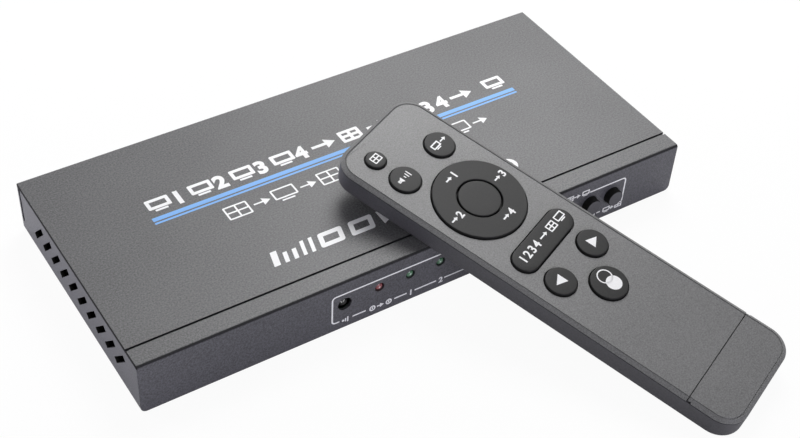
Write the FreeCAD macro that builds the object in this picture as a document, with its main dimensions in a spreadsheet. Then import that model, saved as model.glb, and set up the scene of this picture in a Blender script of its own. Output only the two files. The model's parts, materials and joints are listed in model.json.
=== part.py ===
# Quad video multiviewer: a low sheet-metal box, with the remote control that lies against it.
# Frame: millimetres, origin at the middle of the underside, +X right along the front, +Y to the back, +Z up.
import FreeCAD
import Part
import Sketcher
import math
import os
import re

Vector = FreeCAD.Vector
Rotation = FreeCAD.Rotation
Placement = FreeCAD.Placement

SIZES = [
    ("case_length", 200.0, "box, left to right"),
    ("case_depth", 90.0, "box, front face to rear face"),
    ("case_height", 20.0, "box, underside to top face"),
    ("sheet", 1.0, "thickness of every steel sheet of the box"),
    ("bend_radius", 2.0, "outer radius of the long bottom bends"),
    ("lip_radius", 0.3, "rounding of the top sheets' side edges"),
    ("seam", 0.15, "gap between the walls and the sheets that lie over them"),
    ("strip_depth", 6.95, "top strip that is bent back from the front face"),
    ("strip_gap", 1.0, "open seam between the strip and the cover"),
    ("weld_lip", 6.0, "depth of the lips that join front and rear panels to the tray"),
    ("lip_inset", 3.0, "lips stop this far from the box's ends"),
    ("vent_count", 10, "slanted slots in each side wall"),
    ("vent_pitch", 6.8, "slot to slot"),
    ("vent_length", 10.7, "slot, long way"),
    ("vent_width", 2.1, "slot, short way"),
    ("vent_slope", 45.5, "slot's angle from level, degrees"),
    ("vent_middle_z", 11.1, "height of the slot row"),
    ("vent_middle_y", -1.55, "middle of the slot row"),
    ("relief_gap", 1.3, "open corner between side wall and rear panel"),
    ("relief_bottom", 5.0, "the open corner starts at this height"),
    ("lamp_z", 11.35, "height of the lamps' axes"),
    ("lamp_hole", 1.7, "radius of a lamp's hole"),
    ("power_lamp_x", -19.1, "red lamp"),
    ("first_lamp_x", -7.8, "first green lamp"),
    ("lamp_pitch", 11.35, "green lamp to green lamp"),
    ("lamp_count", 4, "green lamps, one for each input"),
    ("window_x", -31.6, "infrared receiver's hole"),
    ("window_z", 10.4, "infrared receiver's height"),
    ("window_radius", 2.45, "infrared receiver's hole"),
    ("button_inset", 36.6, "first push button, from the box's right end"),
    ("button_pitch", 9.35, "button to button"),
    ("button_z", 9.4, "height of the buttons"),
    ("button_radius", 2.95, "button cap"),
    ("button_fit", 0.25, "gap round a button cap"),
    ("button_reach", 2.5, "cap stands out of the front face"),
    ("button_flange", 0.95, "collar that keeps the cap in"),
    ("button_collar", 1.0, "thickness of that collar"),
    ("button_play", 0.2, "collar's clearance behind the panel"),
    ("plunger_radius", 1.7, "switch plunger"),
    ("plunger_reach", 2.4, "plunger runs from the cap to its switch"),
    ("plunger_seat", 0.8, "plunger's length inside its switch"),
    ("plunger_room", 0.8, "free depth behind the plunger"),
    ("switch_width", 6.0, "switch body, sideways"),
    ("switch_depth", 3.8, "switch body, front to back"),
    ("switch_height", 7.0, "switch body above the board"),
    ("spacer_height", 3.0, "hexagon spacers under the board"),
    ("spacer_corner_radius", 2.9, "corner radius of a spacer"),
    ("spacer_inset", 7.0, "spacers, from the board's left and right edges"),
    ("spacer_front_inset", 9.0, "front pair of spacers, from the board's front edge"),
    ("spacer_rear_inset", 19.0, "rear pair of spacers, from the board's rear edge"),
    ("board_side_gap", 5.0, "circuit board to the box's outer ends"),
    ("board_end_gap", 3.0, "circuit board to the box's outer front and rear"),
    ("board_thick", 1.6, "circuit board"),
    ("screw_radius", 1.45, "shank of every screw"),
    ("thread_fit", 0.05, "gap round a shank in its thread"),
    ("clear_fit", 0.25, "gap round a shank in a plain hole"),
    ("screw_head_radius", 2.75, "screw head"),
    ("screw_head_height", 1.8, "screw head"),
    ("drive_slot_width", 0.8, "cross in a screw head"),
    ("board_screw_length", 3.4, "board screw under its head"),
    ("spacer_bore_depth", 2.4, "threaded depth of a spacer"),
    ("cover_screw_length", 5.5, "cover screw under its head"),
    ("lug_inset", 8.0, "cover's rear lugs, from the box's ends"),
    ("lug_width", 8.0, "cover's rear lugs"),
    ("lug_height", 10.0, "lug hangs this far under the cover"),
    ("lug_gap", 0.1, "lug to rear panel"),
    ("lug_screw_z", 13.5, "height of the cover screws"),
    ("nut_radius", 3.15, "corner radius of the pressed nuts"),
    ("nut_height", 2.4, "pressed nuts"),
    ("tongue_inset", 40.0, "outer tongues that hook under the strip, from the box's ends"),
    ("tongue_width", 12.0, "tongue"),
    ("tongue_reach", 4.0, "tongue's reach under the strip"),
    ("port_width", 15.0, "video socket shell, outside"),
    ("port_height", 5.6, "video socket shell, outside"),
    ("port_wall", 0.4, "video socket shell"),
    ("port_depth", 12.0, "video socket shell"),
    ("port_corner", 2.2, "slanted lower corners of the socket, sideways"),
    ("port_rise", 2.0, "slanted lower corners of the socket, upwards"),
    ("port_gap", 0.3, "panel cut-out round a socket"),
    ("port_pitch", 25.0, "input to input"),
    ("input_inset", 47.0, "last input socket, from the box's left end"),
    ("output_inset", 48.0, "output socket, from the box's right end"),
    ("core_depth", 3.0, "socket's insulator block"),
    ("tongue_board_width", 10.4, "socket's contact tongue"),
    ("tongue_board_thick", 1.0, "socket's contact tongue"),
    ("tongue_recess", 1.7, "contact tongue ends behind the mouth"),
    ("tongue_lift", 0.4, "contact tongue above the socket's middle"),
    ("jack_inset", 20.0, "power jack, from the box's right end"),
    ("jack_width", 9.0, "power jack"),
    ("jack_depth", 13.9, "power jack"),
    ("jack_height", 11.0, "power jack"),
    ("jack_axis_height", 6.5, "jack's bore above the board"),
    ("jack_nose_radius", 4.0, "round nose in the rear panel"),
    ("jack_bore_radius", 3.2, "bore for the plug"),
    ("jack_bore_depth", 9.5, "bore for the plug"),
    ("jack_pin_radius", 1.0, "centre pin"),
    ("jack_pin_recess", 0.5, "centre pin ends behind the mouth"),
    ("jack_gap", 0.2, "panel hole round the nose"),
    ("lamp_radius", 1.5, "lamp body"),
    ("lamp_recess", 0.3, "dome's tip behind the front face"),
    ("lamp_body_length", 2.0, "straight part of a lamp"),
    ("lamp_collar", 0.4, "lamp's collar beyond its body"),
    ("lamp_collar_length", 1.0, "lamp's collar"),
    ("holder_width", 4.4, "right-angle lamp holder"),
    ("holder_depth", 5.0, "right-angle lamp holder"),
    ("holder_above", 2.3, "holder's top above the lamp's axis"),
    ("eye_width", 6.0, "infrared receiver"),
    ("eye_height", 6.4, "infrared receiver"),
    ("eye_depth", 2.8, "infrared receiver"),
    ("eye_dome", 2.0, "infrared receiver's lens"),
    ("eye_recess", 0.4, "lens tip behind the front face"),
    ("eye_leg", 0.5, "infrared receiver's legs"),
    ("chip_side", 23.0, "video processor"),
    ("chip_thick", 1.8, "video processor"),
    ("chip_y", 0.0, "video processor, front to back"),
    ("pad_thick", 0.5, "heat-conducting pad"),
    ("sink_side", 30.0, "heat sink"),
    ("sink_base", 1.5, "heat sink's floor"),
    ("sink_fin_height", 6.0, "heat sink's fins"),
    ("sink_fin_thick", 1.2, "heat sink's fins"),
    ("sink_fin_count", 8, "heat sink's fins"),
    ("receiver_side", 10.0, "input receiver chips"),
    ("receiver_thick", 1.2, "input receiver chips"),
    ("receiver_back", 5.0, "receiver chip in front of its socket"),
    ("memory_length", 13.0, "memory chips"),
    ("memory_width", 9.0, "memory chips"),
    ("memory_x", 26.0, "memory chips, left to right"),
    ("memory_pitch", 20.0, "memory chips, front to back"),
    ("coil_side", 7.0, "power inductors"),
    ("coil_height", 4.0, "power inductors"),
    ("coil_pitch", 11.0, "inductor to inductor"),
    ("capacitor_radius", 3.15, "electrolytic capacitors"),
    ("capacitor_height", 7.7, "electrolytic capacitors"),
    ("power_inset", 28.0, "power parts, from the box's right end"),
    ("crystal_length", 11.0, "crystal"),
    ("crystal_width", 4.6, "crystal"),
    ("crystal_height", 3.5, "crystal"),
    ("crystal_x", -28.0, "crystal, left to right"),
    ("remote_length", 146.6, "remote control"),
    ("remote_width", 40.6, "remote control"),
    ("remote_thick", 8.05, "remote control, without keys"),
    ("remote_corner", 8.0, "plan radius of its corners"),
    ("face_thick", 1.1, "upper shell's face"),
    ("bevel_width", 1.2, "bevel round the face, inwards"),
    ("bevel_drop", 0.7, "bevel round the face, downwards"),
    ("back_round", 0.8, "rounding of the back's edge"),
    ("remote_wall", 1.3, "lower shell's walls"),
    ("remote_floor", 1.2, "lower shell's floor"),
    ("rim_height", 0.7, "locating rim under the upper shell"),
    ("rim_thick", 0.8, "locating rim"),
    ("rim_gap", 0.1, "locating rim to lower shell"),
    ("cap_length", 16.9, "sliding end cap"),
    ("cap_gap", 0.3, "seam between the face and the end cap"),
    ("cap_notch", 1.2, "finger notch beside the seam"),
    ("cap_notch_depth", 0.5, "finger notch, inwards"),
    ("cap_play", 0.05, "end cap's running clearance"),
    ("cap_rail_u", 12.0, "end cap's runners, from the middle"),
    ("cap_rail", 2.2, "end cap's runners, sideways"),
    ("cap_rail_height", 0.7, "end cap's runners"),
    ("cap_rail_fit", 0.1, "gap round the runners in the end wall"),
    ("remote_yaw", 23.46, "remote's turn to the left, degrees"),
    ("remote_tilt", 12.04, "slope of the remote, degrees"),
    ("remote_x", 30.67, "middle of the remote, left to right"),
    ("rest_gap", 0.05, "remote's clearance to what it rests on"),
    ("key_proud", 0.8, "keys above the face"),
    ("key_gap", 0.35, "gap round a key"),
    ("key_flange", 0.8, "key's collar under the face"),
    ("key_collar", 0.6, "thickness of that collar"),
    ("key_play", 0.1, "collar's clearance under the face"),
    ("key_round", 0.3, "rounding of a key's top edge"),
    ("key_column_inset", 10.7, "side keys, from the remote's sides"),
    ("small_key", 3.35, "screen key, radius"),
    ("middle_key", 5.05, "sound and mode keys, radius"),
    ("arrow_key", 5.05, "arrow keys, radius"),
    ("large_key", 6.1, "definition key, radius"),
    ("ring_margin", 5.05, "input ring to the remote's sides"),
    ("ring_bore", 7.45, "input ring, inner radius"),
    ("centre_key", 6.95, "centre key, radius"),
    ("screen_key_inset", 9.7, "screen key, down from the upper end"),
    ("middle_key_inset", 21.3, "sound and mode keys, down from the upper end"),
    ("ring_inset", 43.2, "ring and centre key, down from the upper end"),
    ("plate_inset", 67.0, "blank name plate, down from the upper end"),
    ("plate_margin", 5.75, "blank name plate to the remote's sides"),
    ("plate_width", 8.9, "blank name plate"),
    ("end_flat", 0.01, "straight bit left in the middle of a round end"),
    ("arrow_inset", 79.5, "arrow keys, down from the upper end"),
    ("large_key_inset", 91.2, "definition key, down from the upper end"),
    ("mat_thick", 0.8, "rubber contact mat"),
    ("mat_depth", 2.7, "top of the mat below the face"),
    ("card_thick", 1.0, "remote's circuit board"),
    ("card_margin", 1.2, "remote's circuit board to the walls"),
    ("card_top_inset", 6.9, "remote's circuit board, down from the upper end"),
    ("card_to_cell", 4.0, "remote's circuit board to the coin cell"),
    ("post_radius", 1.5, "posts under the remote's circuit board"),
    ("post_inset", 5.0, "posts from the board's edges"),
    ("emitter_radius", 1.5, "infrared emitter"),
    ("emitter_depth", 4.5, "emitter's axis below the face"),
    ("emitter_recess", 0.4, "emitter's tip inside the end wall"),
    ("cell_radius", 10.0, "coin cell"),
    ("cell_thick", 3.2, "coin cell"),
    ("cell_inset", 21.3, "coin cell, up from the lower end"),
    ("contact_thick", 0.15, "cell contacts"),
    ("contact_width", 6.0, "cell contacts"),
    ("chip_small", 5.0, "remote's control chip"),
    ("chip_small_thick", 0.6, "remote's control chip"),
]

doc = FreeCAD.newDocument("multiviewer")
table = doc.addObject("Spreadsheet::Sheet", "dims")
for row, (alias, value, note) in enumerate(SIZES, start=1):
    table.set("A%d" % row, note)
    table.set("B%d" % row, str(value))
    table.setAlias("B%d" % row, alias)
doc.recompute()
ALIASES = {alias for alias, value, note in SIZES}
nodes = {}
remote_parts = []


# Helpers: sizes, expressions and simple solids

def size(alias):
    return float(table.get(alias))


def formula(text):
    """Point each size named in an expression at its cell."""
    def cell(word):
        return "dims." + word.group() if word.group() in ALIASES else word.group()
    return re.sub(r"[a-z_]+", cell, str(text))


def bind(item, prop, text):
    item.setExpression(prop, formula(text))


def place(item, x, y, z):
    for axis, text in zip("xyz", (x, y, z)):
        bind(item, "Placement.Base." + axis, text)


def block(name, x_range, y_range, z_range):
    """A box between two planes each way."""
    item = doc.addObject("Part::Box", name)
    for prop, (low, high) in zip(("Length", "Width", "Height"), (x_range, y_range, z_range)):
        bind(item, prop, "(%s) - (%s)" % (high, low))
    place(item, x_range[0], y_range[0], z_range[0])
    return item


AXES = {"+Z": (Vector(0, 0, 1), 0), "-Y": (Vector(1, 0, 0), 90), "+Y": (Vector(1, 0, 0), -90)}


def rod(name, axis, start, radius, length):
    """A round bar that starts at a point and runs along an axis."""
    item = doc.addObject("Part::Cylinder", name)
    item.Placement = Placement(Vector(), Rotation(*AXES[axis]))
    bind(item, "Radius", radius)
    bind(item, "Height", length)
    place(item, *start)
    return item


def ball(name, centre, radius):
    item = doc.addObject("Part::Sphere", name)
    bind(item, "Radius", radius)
    place(item, *centre)
    return item


def hexagon(name, axis, start, radius, length):
    item = doc.addObject("Part::Prism", name)
    item.Polygon = 6
    item.Placement = Placement(Vector(), Rotation(*AXES[axis]))
    bind(item, "Circumradius", radius)
    bind(item, "Height", length)
    place(item, *start)
    return item


def fuse(name, shapes):
    item = doc.addObject("Part::MultiFuse", name)
    item.Shapes = shapes
    return item


def group(name, shapes):
    """Separate solids that share one node."""
    item = doc.addObject("Part::Compound", name)
    item.Links = shapes
    return item


def cut(name, base, tools):
    item = doc.addObject("Part::Cut", name)
    item.Base = base
    item.Tool = tools[0] if len(tools) == 1 else group(name + "_holes", tools)
    return item


def node(label, item, remote=False):
    """Name a finished piece. A single block or bar of the remote is wrapped, so that its pose stays free."""
    if remote and item.TypeId in ("Part::Box", "Part::Cylinder"):
        item = group(label + "_solid", [item])
    item.Label = label
    nodes[label] = item
    if remote:
        remote_parts.append(item)
    return item


# Helpers: sketched features

def new_body(name):
    return doc.addObject("PartDesign::Body", name)


def origin_feature(body, role):
    return [feature for feature in body.Origin.OriginFeatures if feature.Role == role][0]


def new_sketch(body, name, role, height="0"):
    """A sketch on one of the body's own planes, moved along that plane's normal."""
    item = body.newObject("Sketcher::SketchObject", name)
    item.AttachmentSupport = [(origin_feature(body, role), "")]
    item.MapMode = "FlatFace"
    bind(item, "AttachmentOffset.Base.z", height)
    return item


def draw_polygon(sketch, corners):
    first = sketch.GeometryCount
    count = len(corners)
    for index in range(count):
        start = math.tau * index / count
        end = math.tau * (index + 1) / count
        sketch.addGeometry(Part.LineSegment(Vector(math.cos(start), math.sin(start), 0),
                                            Vector(math.cos(end), math.sin(end), 0)), False)
    for index in range(count):
        following = first + (index + 1) % count
        sketch.addConstraint(Sketcher.Constraint("Coincident", first + index, 2, following, 1))
    for index, corner in enumerate(corners):
        for kind, text in zip(("DistanceX", "DistanceY"), corner):
            number = sketch.addConstraint(Sketcher.Constraint(kind, -1, 1, first + index, 1, 1.0))
            bind(sketch, "Constraints[%d]" % number, text)


def draw_rectangle(sketch, x_range, y_range):
    draw_polygon(sketch, [(x_range[0], y_range[0]), (x_range[1], y_range[0]),
                          (x_range[1], y_range[1]), (x_range[0], y_range[1])])


def draw_circle(sketch, x, y, radius):
    number = sketch.addGeometry(Part.Circle(Vector(1, 1, 0), Vector(0, 0, 1), 1.0), False)
    for kind, text in (("DistanceX", x), ("DistanceY", y)):
        index = sketch.addConstraint(Sketcher.Constraint(kind, -1, 1, number, 3, 1.0))
        bind(sketch, "Constraints[%d]" % index, text)
    index = sketch.addConstraint(Sketcher.Constraint("Radius", number, 1.0))
    bind(sketch, "Constraints[%d]" % index, radius)


def pad(body, sketch, length, both_ways=False, backwards=False):
    item = body.newObject("PartDesign::Pad", sketch.Name + "_pad")
    item.Profile = sketch
    item.Midplane = both_ways
    item.Reversed = backwards
    bind(item, "Length", length)
    doc.recompute()
    return item


def pocket(body, sketch, length=None, both_ways=False, backwards=False):
    item = body.newObject("PartDesign::Pocket", sketch.Name + "_pocket")
    item.Profile = sketch
    item.Midplane = both_ways
    item.Reversed = backwards
    if length is None:
        item.Type = "ThroughAll"
    else:
        bind(item, "Length", length)
    doc.recompute()
    return item


def pick_edges(item, test):
    """Names of the edges whose bounding box passes a test."""
    return ["Edge%d" % (index + 1) for index, edge in enumerate(item.Shape.Edges) if test(edge.BoundBox)]


def same(first, second):
    return abs(first - second) < 0.001


def round_edges(body, name, test, radius):
    item = body.newObject("PartDesign::Fillet", name)
    source = item.BaseFeature
    item.Base = (source, pick_edges(source, test))
    bind(item, "Radius", radius)
    doc.recompute()
    return item


def bevel_edges(body, name, test, across, down):
    item = body.newObject("PartDesign::Chamfer", name)
    source = item.BaseFeature
    item.Base = (source, pick_edges(source, test))
    item.ChamferType = "Two distances"
    bind(item, "Size", down)
    bind(item, "Size2", across)
    doc.recompute()
    return item


# The box's sheet metal

HALF = "case_length / 2"
FRONT = "-case_depth / 2"
BACK = "case_depth / 2"
TOP = "case_height"
UNDER_TOP = "case_height - sheet"
WALL_TOP = "case_height - sheet - seam"
COVER_FRONT = "-case_depth / 2 + strip_depth + strip_gap"
BOARD_SIDE = "(case_length / 2 - board_side_gap)"
BOARD_END = "(case_depth / 2 - board_end_gap)"
LUG = "(case_length / 2 - lug_inset)"
TONGUE = "(case_length / 2 - tongue_inset)"
BUTTON = "case_length / 2 - button_inset"
JACK = "case_length / 2 - jack_inset"


def is_bottom_end_corner(bound):
    """Short edges along Y at the lower outer corners of a panel."""
    at_end = same(abs(bound.XMin), size("case_length") / 2) and bound.XLength < 0.001
    return at_end and bound.ZMax < 0.001 and bound.YLength > 0.5


def is_top_end_edge(bound):
    at_end = same(abs(bound.XMin), size("case_length") / 2) and bound.XLength < 0.001
    return at_end and same(bound.ZMin, size("case_height")) and bound.YLength > 0.5


def make_base_tray():
    body = new_body("base_tray_body")
    outline = new_sketch(body, "tray_outline", "XZ_Plane")
    draw_rectangle(outline, ("-" + HALF, HALF), ("0", WALL_TOP))
    pad(body, outline, "case_depth - 2 * sheet", both_ways=True)
    round_edges(body, "tray_bends", is_bottom_end_corner, "bend_radius")
    hollow = new_sketch(body, "tray_hollow", "XZ_Plane")
    draw_rectangle(hollow, ("-%s + sheet" % HALF, HALF + " - sheet"), ("sheet", TOP))
    pocket(body, hollow, both_ways=True)
    inner = size("case_length") / 2 - size("sheet")
    round_edges(body, "tray_inner_bends",
                lambda bound: same(abs(bound.XMin), inner) and bound.XLength < 0.001
                and same(bound.ZMax, size("sheet")) and bound.YLength > 1, "bend_radius - sheet")
    slot = new_sketch(body, "vent_slot", "YZ_Plane")
    slot.AttachmentOffset = Placement(Vector(), Rotation(Vector(0, 0, 1), size("vent_slope")))
    bind(slot, "AttachmentOffset.Base.x", "vent_middle_y - vent_pitch * (vent_count - 1) / 2")
    bind(slot, "AttachmentOffset.Base.y", "vent_middle_z")
    bind(slot, "AttachmentOffset.Rotation.Angle", "90 - vent_slope")
    draw_rectangle(slot, ("-vent_width / 2", "vent_width / 2"), ("-vent_length / 2", "vent_length / 2"))
    first = pocket(body, slot, both_ways=True)
    row = body.newObject("PartDesign::LinearPattern", "vent_row")
    row.Originals = [first]
    row.Direction = (origin_feature(body, "Y_Axis"), [""])
    bind(row, "Length", "vent_pitch * (vent_count - 1)")
    bind(row, "Occurrences", "vent_count")
    body.Tip = row
    doc.recompute()
    relief = new_sketch(body, "rear_relief", "YZ_Plane")
    draw_rectangle(relief, (BACK + " - sheet - relief_gap", BACK), ("relief_bottom", TOP))
    pocket(body, relief, both_ways=True)
    node("base_tray", body)


def make_front_panel():
    body = new_body("front_panel_body")
    face = new_sketch(body, "front_face", "XZ_Plane", BACK)
    draw_rectangle(face, ("-" + HALF, HALF), ("0", TOP))
    pad(body, face, "sheet", backwards=True)
    strip = new_sketch(body, "front_strip", "XY_Plane", UNDER_TOP)
    draw_rectangle(strip, ("-" + HALF, HALF), (FRONT + " + sheet / 2", FRONT + " + strip_depth"))
    pad(body, strip, "sheet")
    lip = new_sketch(body, "front_lip", "XY_Plane", "sheet")
    draw_rectangle(lip, ("-%s + lip_inset" % HALF, HALF + " - lip_inset"),
                   (FRONT + " + sheet / 2", FRONT + " + sheet + weld_lip"))
    pad(body, lip, "sheet")
    round_edges(body, "front_corners", is_bottom_end_corner, "bend_radius")
    front = -size("case_depth") / 2
    round_edges(body, "front_bend",
                lambda bound: same(bound.YMin, front) and bound.YLength < 0.001
                and same(bound.ZMin, size("case_height"))
                and bound.XLength > size("case_length") / 2, "sheet")
    round_edges(body, "strip_ends", is_top_end_edge, "lip_radius")
    holes = new_sketch(body, "front_holes", "XZ_Plane", BACK)
    draw_circle(holes, "window_x", "window_z", "window_radius")
    draw_circle(holes, "power_lamp_x", "lamp_z", "lamp_hole")
    for index in range(int(size("lamp_count"))):
        draw_circle(holes, "first_lamp_x + %d * lamp_pitch" % index, "lamp_z", "lamp_hole")
    for index in range(2):
        draw_circle(holes, BUTTON + " + %d * button_pitch" % index, "button_z", "button_radius + button_fit")
    pocket(body, holes, "2 * sheet", backwards=False)
    node("front_panel", body)


def port_outline(x, base, grow):
    """Corners of a video socket's section, seen from the front, widened by a margin."""
    wide = "port_width / 2 + %s" % grow
    narrow = "port_width / 2 - port_corner + %s" % grow
    return [("%s - (%s)" % (x, narrow), "%s - (%s)" % (base, grow)),
            ("%s + %s" % (x, narrow), "%s - (%s)" % (base, grow)),
            ("%s + %s" % (x, wide), "%s + port_rise - (%s)" % (base, grow)),
            ("%s + %s" % (x, wide), "%s + port_height + %s" % (base, grow)),
            ("%s - (%s)" % (x, wide), "%s + port_height + %s" % (base, grow)),
            ("%s - (%s)" % (x, wide), "%s + port_rise - (%s)" % (base, grow))]


BOARD_TOP = "sheet + spacer_height + board_thick"
PORTS = [("video_input_%d" % (index + 1), "input_inset - case_length / 2 + %d * port_pitch" % (3 - index))
         for index in range(4)]
PORTS.append(("video_output", "case_length / 2 - output_inset"))


def make_rear_panel():
    body = new_body("rear_panel_body")
    face = new_sketch(body, "rear_face", "XZ_Plane", FRONT)
    draw_rectangle(face, ("-" + HALF, HALF), ("0", WALL_TOP))
    pad(body, face, "sheet")
    lip = new_sketch(body, "rear_lip", "XY_Plane", "sheet")
    draw_rectangle(lip, ("-%s + lip_inset" % HALF, HALF + " - lip_inset"),
                   (BACK + " - sheet - weld_lip", BACK + " - sheet / 2"))
    pad(body, lip, "sheet")
    round_edges(body, "rear_corners", is_bottom_end_corner, "bend_radius")
    holes = new_sketch(body, "rear_holes", "XZ_Plane", FRONT)
    for label, x in PORTS:
        draw_polygon(holes, port_outline(x, BOARD_TOP, "port_gap"))
    draw_circle(holes, JACK, BOARD_TOP + " + jack_axis_height", "jack_nose_radius + jack_gap")
    for side in ("-" + LUG, LUG):
        draw_circle(holes, side, "lug_screw_z", "screw_radius + clear_fit")
    pocket(body, holes, "2 * sheet", both_ways=True)
    node("rear_panel", body)


def make_top_cover():
    body = new_body("top_cover_body")
    plate = new_sketch(body, "cover_plate", "XY_Plane", UNDER_TOP)
    draw_rectangle(plate, ("-" + HALF, HALF), (COVER_FRONT, BACK))
    pad(body, plate, "sheet")
    round_edges(body, "cover_ends", is_top_end_edge, "lip_radius")
    lugs = new_sketch(body, "cover_lugs", "XZ_Plane", FRONT + " + sheet + lug_gap")
    for side in ("-" + LUG, LUG):
        draw_rectangle(lugs, (side + " - lug_width / 2", side + " + lug_width / 2"),
                       (UNDER_TOP + " - lug_height", UNDER_TOP + " + sheet / 2"))
    pad(body, lugs, "sheet")
    holes = new_sketch(body, "lug_holes", "XZ_Plane", FRONT + " + sheet + lug_gap")
    for side in ("-" + LUG, LUG):
        draw_circle(holes, side, "lug_screw_z", "screw_radius + clear_fit")
    pocket(body, holes, "4 * sheet", both_ways=True)
    hooks = new_sketch(body, "cover_hooks", "XY_Plane", UNDER_TOP + " - seam - sheet")
    roots = new_sketch(body, "cover_hook_roots", "XY_Plane", UNDER_TOP + " - seam - sheet")
    for x in ("-" + TONGUE, "0", TONGUE):
        across = (x + " - tongue_width / 2", x + " + tongue_width / 2")
        draw_rectangle(hooks, across,
                       (COVER_FRONT + " - strip_gap - tongue_reach", COVER_FRONT + " + 2 * sheet"))
        draw_rectangle(roots, across, (COVER_FRONT, COVER_FRONT + " + 2 * sheet"))
    pad(body, hooks, "sheet")
    pad(body, roots, "sheet + seam + sheet / 2")
    node("top_cover", body)


# Spacers, board, screws

def cross_slots(name, x, across, depth_name, depth_range):
    """Two crossed bars that cut a screw head's drive; depth_name says which axis the screw lies along."""
    bars = []
    narrow = "drive_slot_width / 2"
    for turn, reach in enumerate(((narrow, "screw_radius"), ("screw_radius", narrow))):
        first = (x + " - " + reach[0], x + " + " + reach[0])
        second = (across + " - " + reach[1], across + " + " + reach[1])
        ranges = (first, second, depth_range) if depth_name == "Z" else (first, depth_range, second)
        bars.append(block("%s_slot_%d" % (name, turn), *ranges))
    return bars


def corner_points():
    rows = ("spacer_front_inset - " + BOARD_END, BOARD_END + " - spacer_rear_inset")
    return [(side + "(%s - spacer_inset)" % BOARD_SIDE, y) for side in ("-", "") for y in rows]


def make_board_and_spacers():
    spacers = []
    screws = []
    holes = []
    for index, (x, y) in enumerate(corner_points()):
        post = hexagon("spacer_post_%d" % index, "+Z", (x, y, "sheet"), "spacer_corner_radius",
                       "spacer_height")
        thread = rod("spacer_thread_%d" % index, "+Z", (x, y, "sheet + spacer_height - spacer_bore_depth"),
                     "screw_radius + thread_fit", "spacer_bore_depth + sheet")
        spacers.append(cut("spacer_%d" % index, post, [thread]))
        holes.append(rod("board_hole_%d" % index, "+Z", (x, y, "spacer_height"), "screw_radius + clear_fit",
                         "sheet + 2 * board_thick"))
        head = rod("board_screw_head_%d" % index, "+Z", (x, y, BOARD_TOP), "screw_head_radius",
                   "screw_head_height")
        shank = rod("board_screw_shank_%d" % index, "+Z", (x, y, BOARD_TOP + " - board_screw_length"),
                    "screw_radius", "board_screw_length + screw_head_height / 4")
        cross = cross_slots("board_screw_%d" % index, x, y, "Z",
                            (BOARD_TOP + " + screw_head_height / 2", BOARD_TOP + " + 2 * screw_head_height"))
        blank = fuse("board_screw_blank_%d" % index, [head, shank])
        screws.append(cut("board_screw_%d" % index, blank, cross))
    plate = block("board_plate", ("-" + BOARD_SIDE, BOARD_SIDE), ("-" + BOARD_END, BOARD_END),
                  ("sheet + spacer_height", BOARD_TOP))
    node("spacers", group("spacer_set", spacers))
    node("board_screws", group("board_screw_set", screws))
    node("main_board", cut("board_drilled", plate, holes))


def make_cover_fixings():
    screws = []
    nuts = []
    for index, x in enumerate(("-" + LUG, LUG)):
        head = rod("cover_screw_head_%d" % index, "+Y", (x, BACK, "lug_screw_z"), "screw_head_radius",
                   "screw_head_height")
        shank = rod("cover_screw_shank_%d" % index, "+Y", (x, BACK + " - cover_screw_length", "lug_screw_z"),
                    "screw_radius", "cover_screw_length + screw_head_height / 4")
        cross = cross_slots("cover_screw_%d" % index, x, "lug_screw_z", "Y",
                            (BACK + " + screw_head_height / 2", BACK + " + 2 * screw_head_height"))
        blank = fuse("cover_screw_blank_%d" % index, [head, shank])
        screws.append(cut("cover_screw_%d" % index, blank, cross))
        face = BACK + " - 2 * sheet - lug_gap"
        nut = hexagon("cover_nut_blank_%d" % index, "-Y", (x, face, "lug_screw_z"), "nut_radius",
                      "nut_height")
        thread = rod("cover_nut_thread_%d" % index, "-Y", (x, face + " + sheet", "lug_screw_z"),
                     "screw_radius + thread_fit", "nut_height + 2 * sheet")
        nuts.append(cut("cover_nut_%d" % index, nut, [thread]))
    node("cover_screws", group("cover_screw_set", screws))
    node("cover_nuts", group("cover_nut_set", nuts))


# Sockets at the back

def make_video_sockets():
    cores = []
    for label, x in PORTS:
        body = new_body(label + "_body")
        outside = new_sketch(body, label + "_outside", "XZ_Plane", FRONT)
        draw_polygon(outside, port_outline(x, BOARD_TOP, "0"))
        pad(body, outside, "port_depth")
        inside = new_sketch(body, label + "_inside", "XZ_Plane", FRONT)
        draw_polygon(inside, port_outline(x, BOARD_TOP, "(-port_wall)"))
        pocket(body, inside, both_ways=True)
        node(label + "_shell", body)
        core = new_body(label + "_core_body")
        plug = new_sketch(core, label + "_core_outline", "XZ_Plane", FRONT + " + port_depth - core_depth")
        draw_polygon(plug, port_outline(x, BOARD_TOP, "(-port_wall)"))
        pad(core, plug, "core_depth")
        blade = new_sketch(core, label + "_blade", "XZ_Plane", FRONT + " + tongue_recess")
        middle = BOARD_TOP + " + port_height / 2 + tongue_lift"
        draw_rectangle(blade, (x + " - tongue_board_width / 2", x + " + tongue_board_width / 2"),
                       (middle + " - tongue_board_thick / 2", middle + " + tongue_board_thick / 2"))
        pad(core, blade, "port_depth - core_depth / 2 - tongue_recess")
        cores.append(core)
    node("video_cores", group("socket_cores", cores))


def make_power_jack():
    axis = BOARD_TOP + " + jack_axis_height"
    front = BACK + " - sheet - lug_gap"
    shell = block("jack_block", (JACK + " - jack_width / 2", JACK + " + jack_width / 2"),
                  (front + " - jack_depth", front), (BOARD_TOP, BOARD_TOP + " + jack_height"))
    nose = rod("jack_nose", "+Y", (JACK, front + " - sheet", axis), "jack_nose_radius",
               "2 * sheet + lug_gap")
    bore = rod("jack_bore", "-Y", (JACK, BACK + " + sheet", axis), "jack_bore_radius",
               "jack_bore_depth + sheet")
    node("power_jack", cut("jack_cut", fuse("jack_blank", [shell, nose]), [bore]))
    pin = rod("jack_pin", "-Y", (JACK, BACK + " - jack_pin_recess", axis), "jack_pin_radius",
              "jack_bore_depth - jack_pin_recess")
    node("power_jack_pin", pin)


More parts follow.
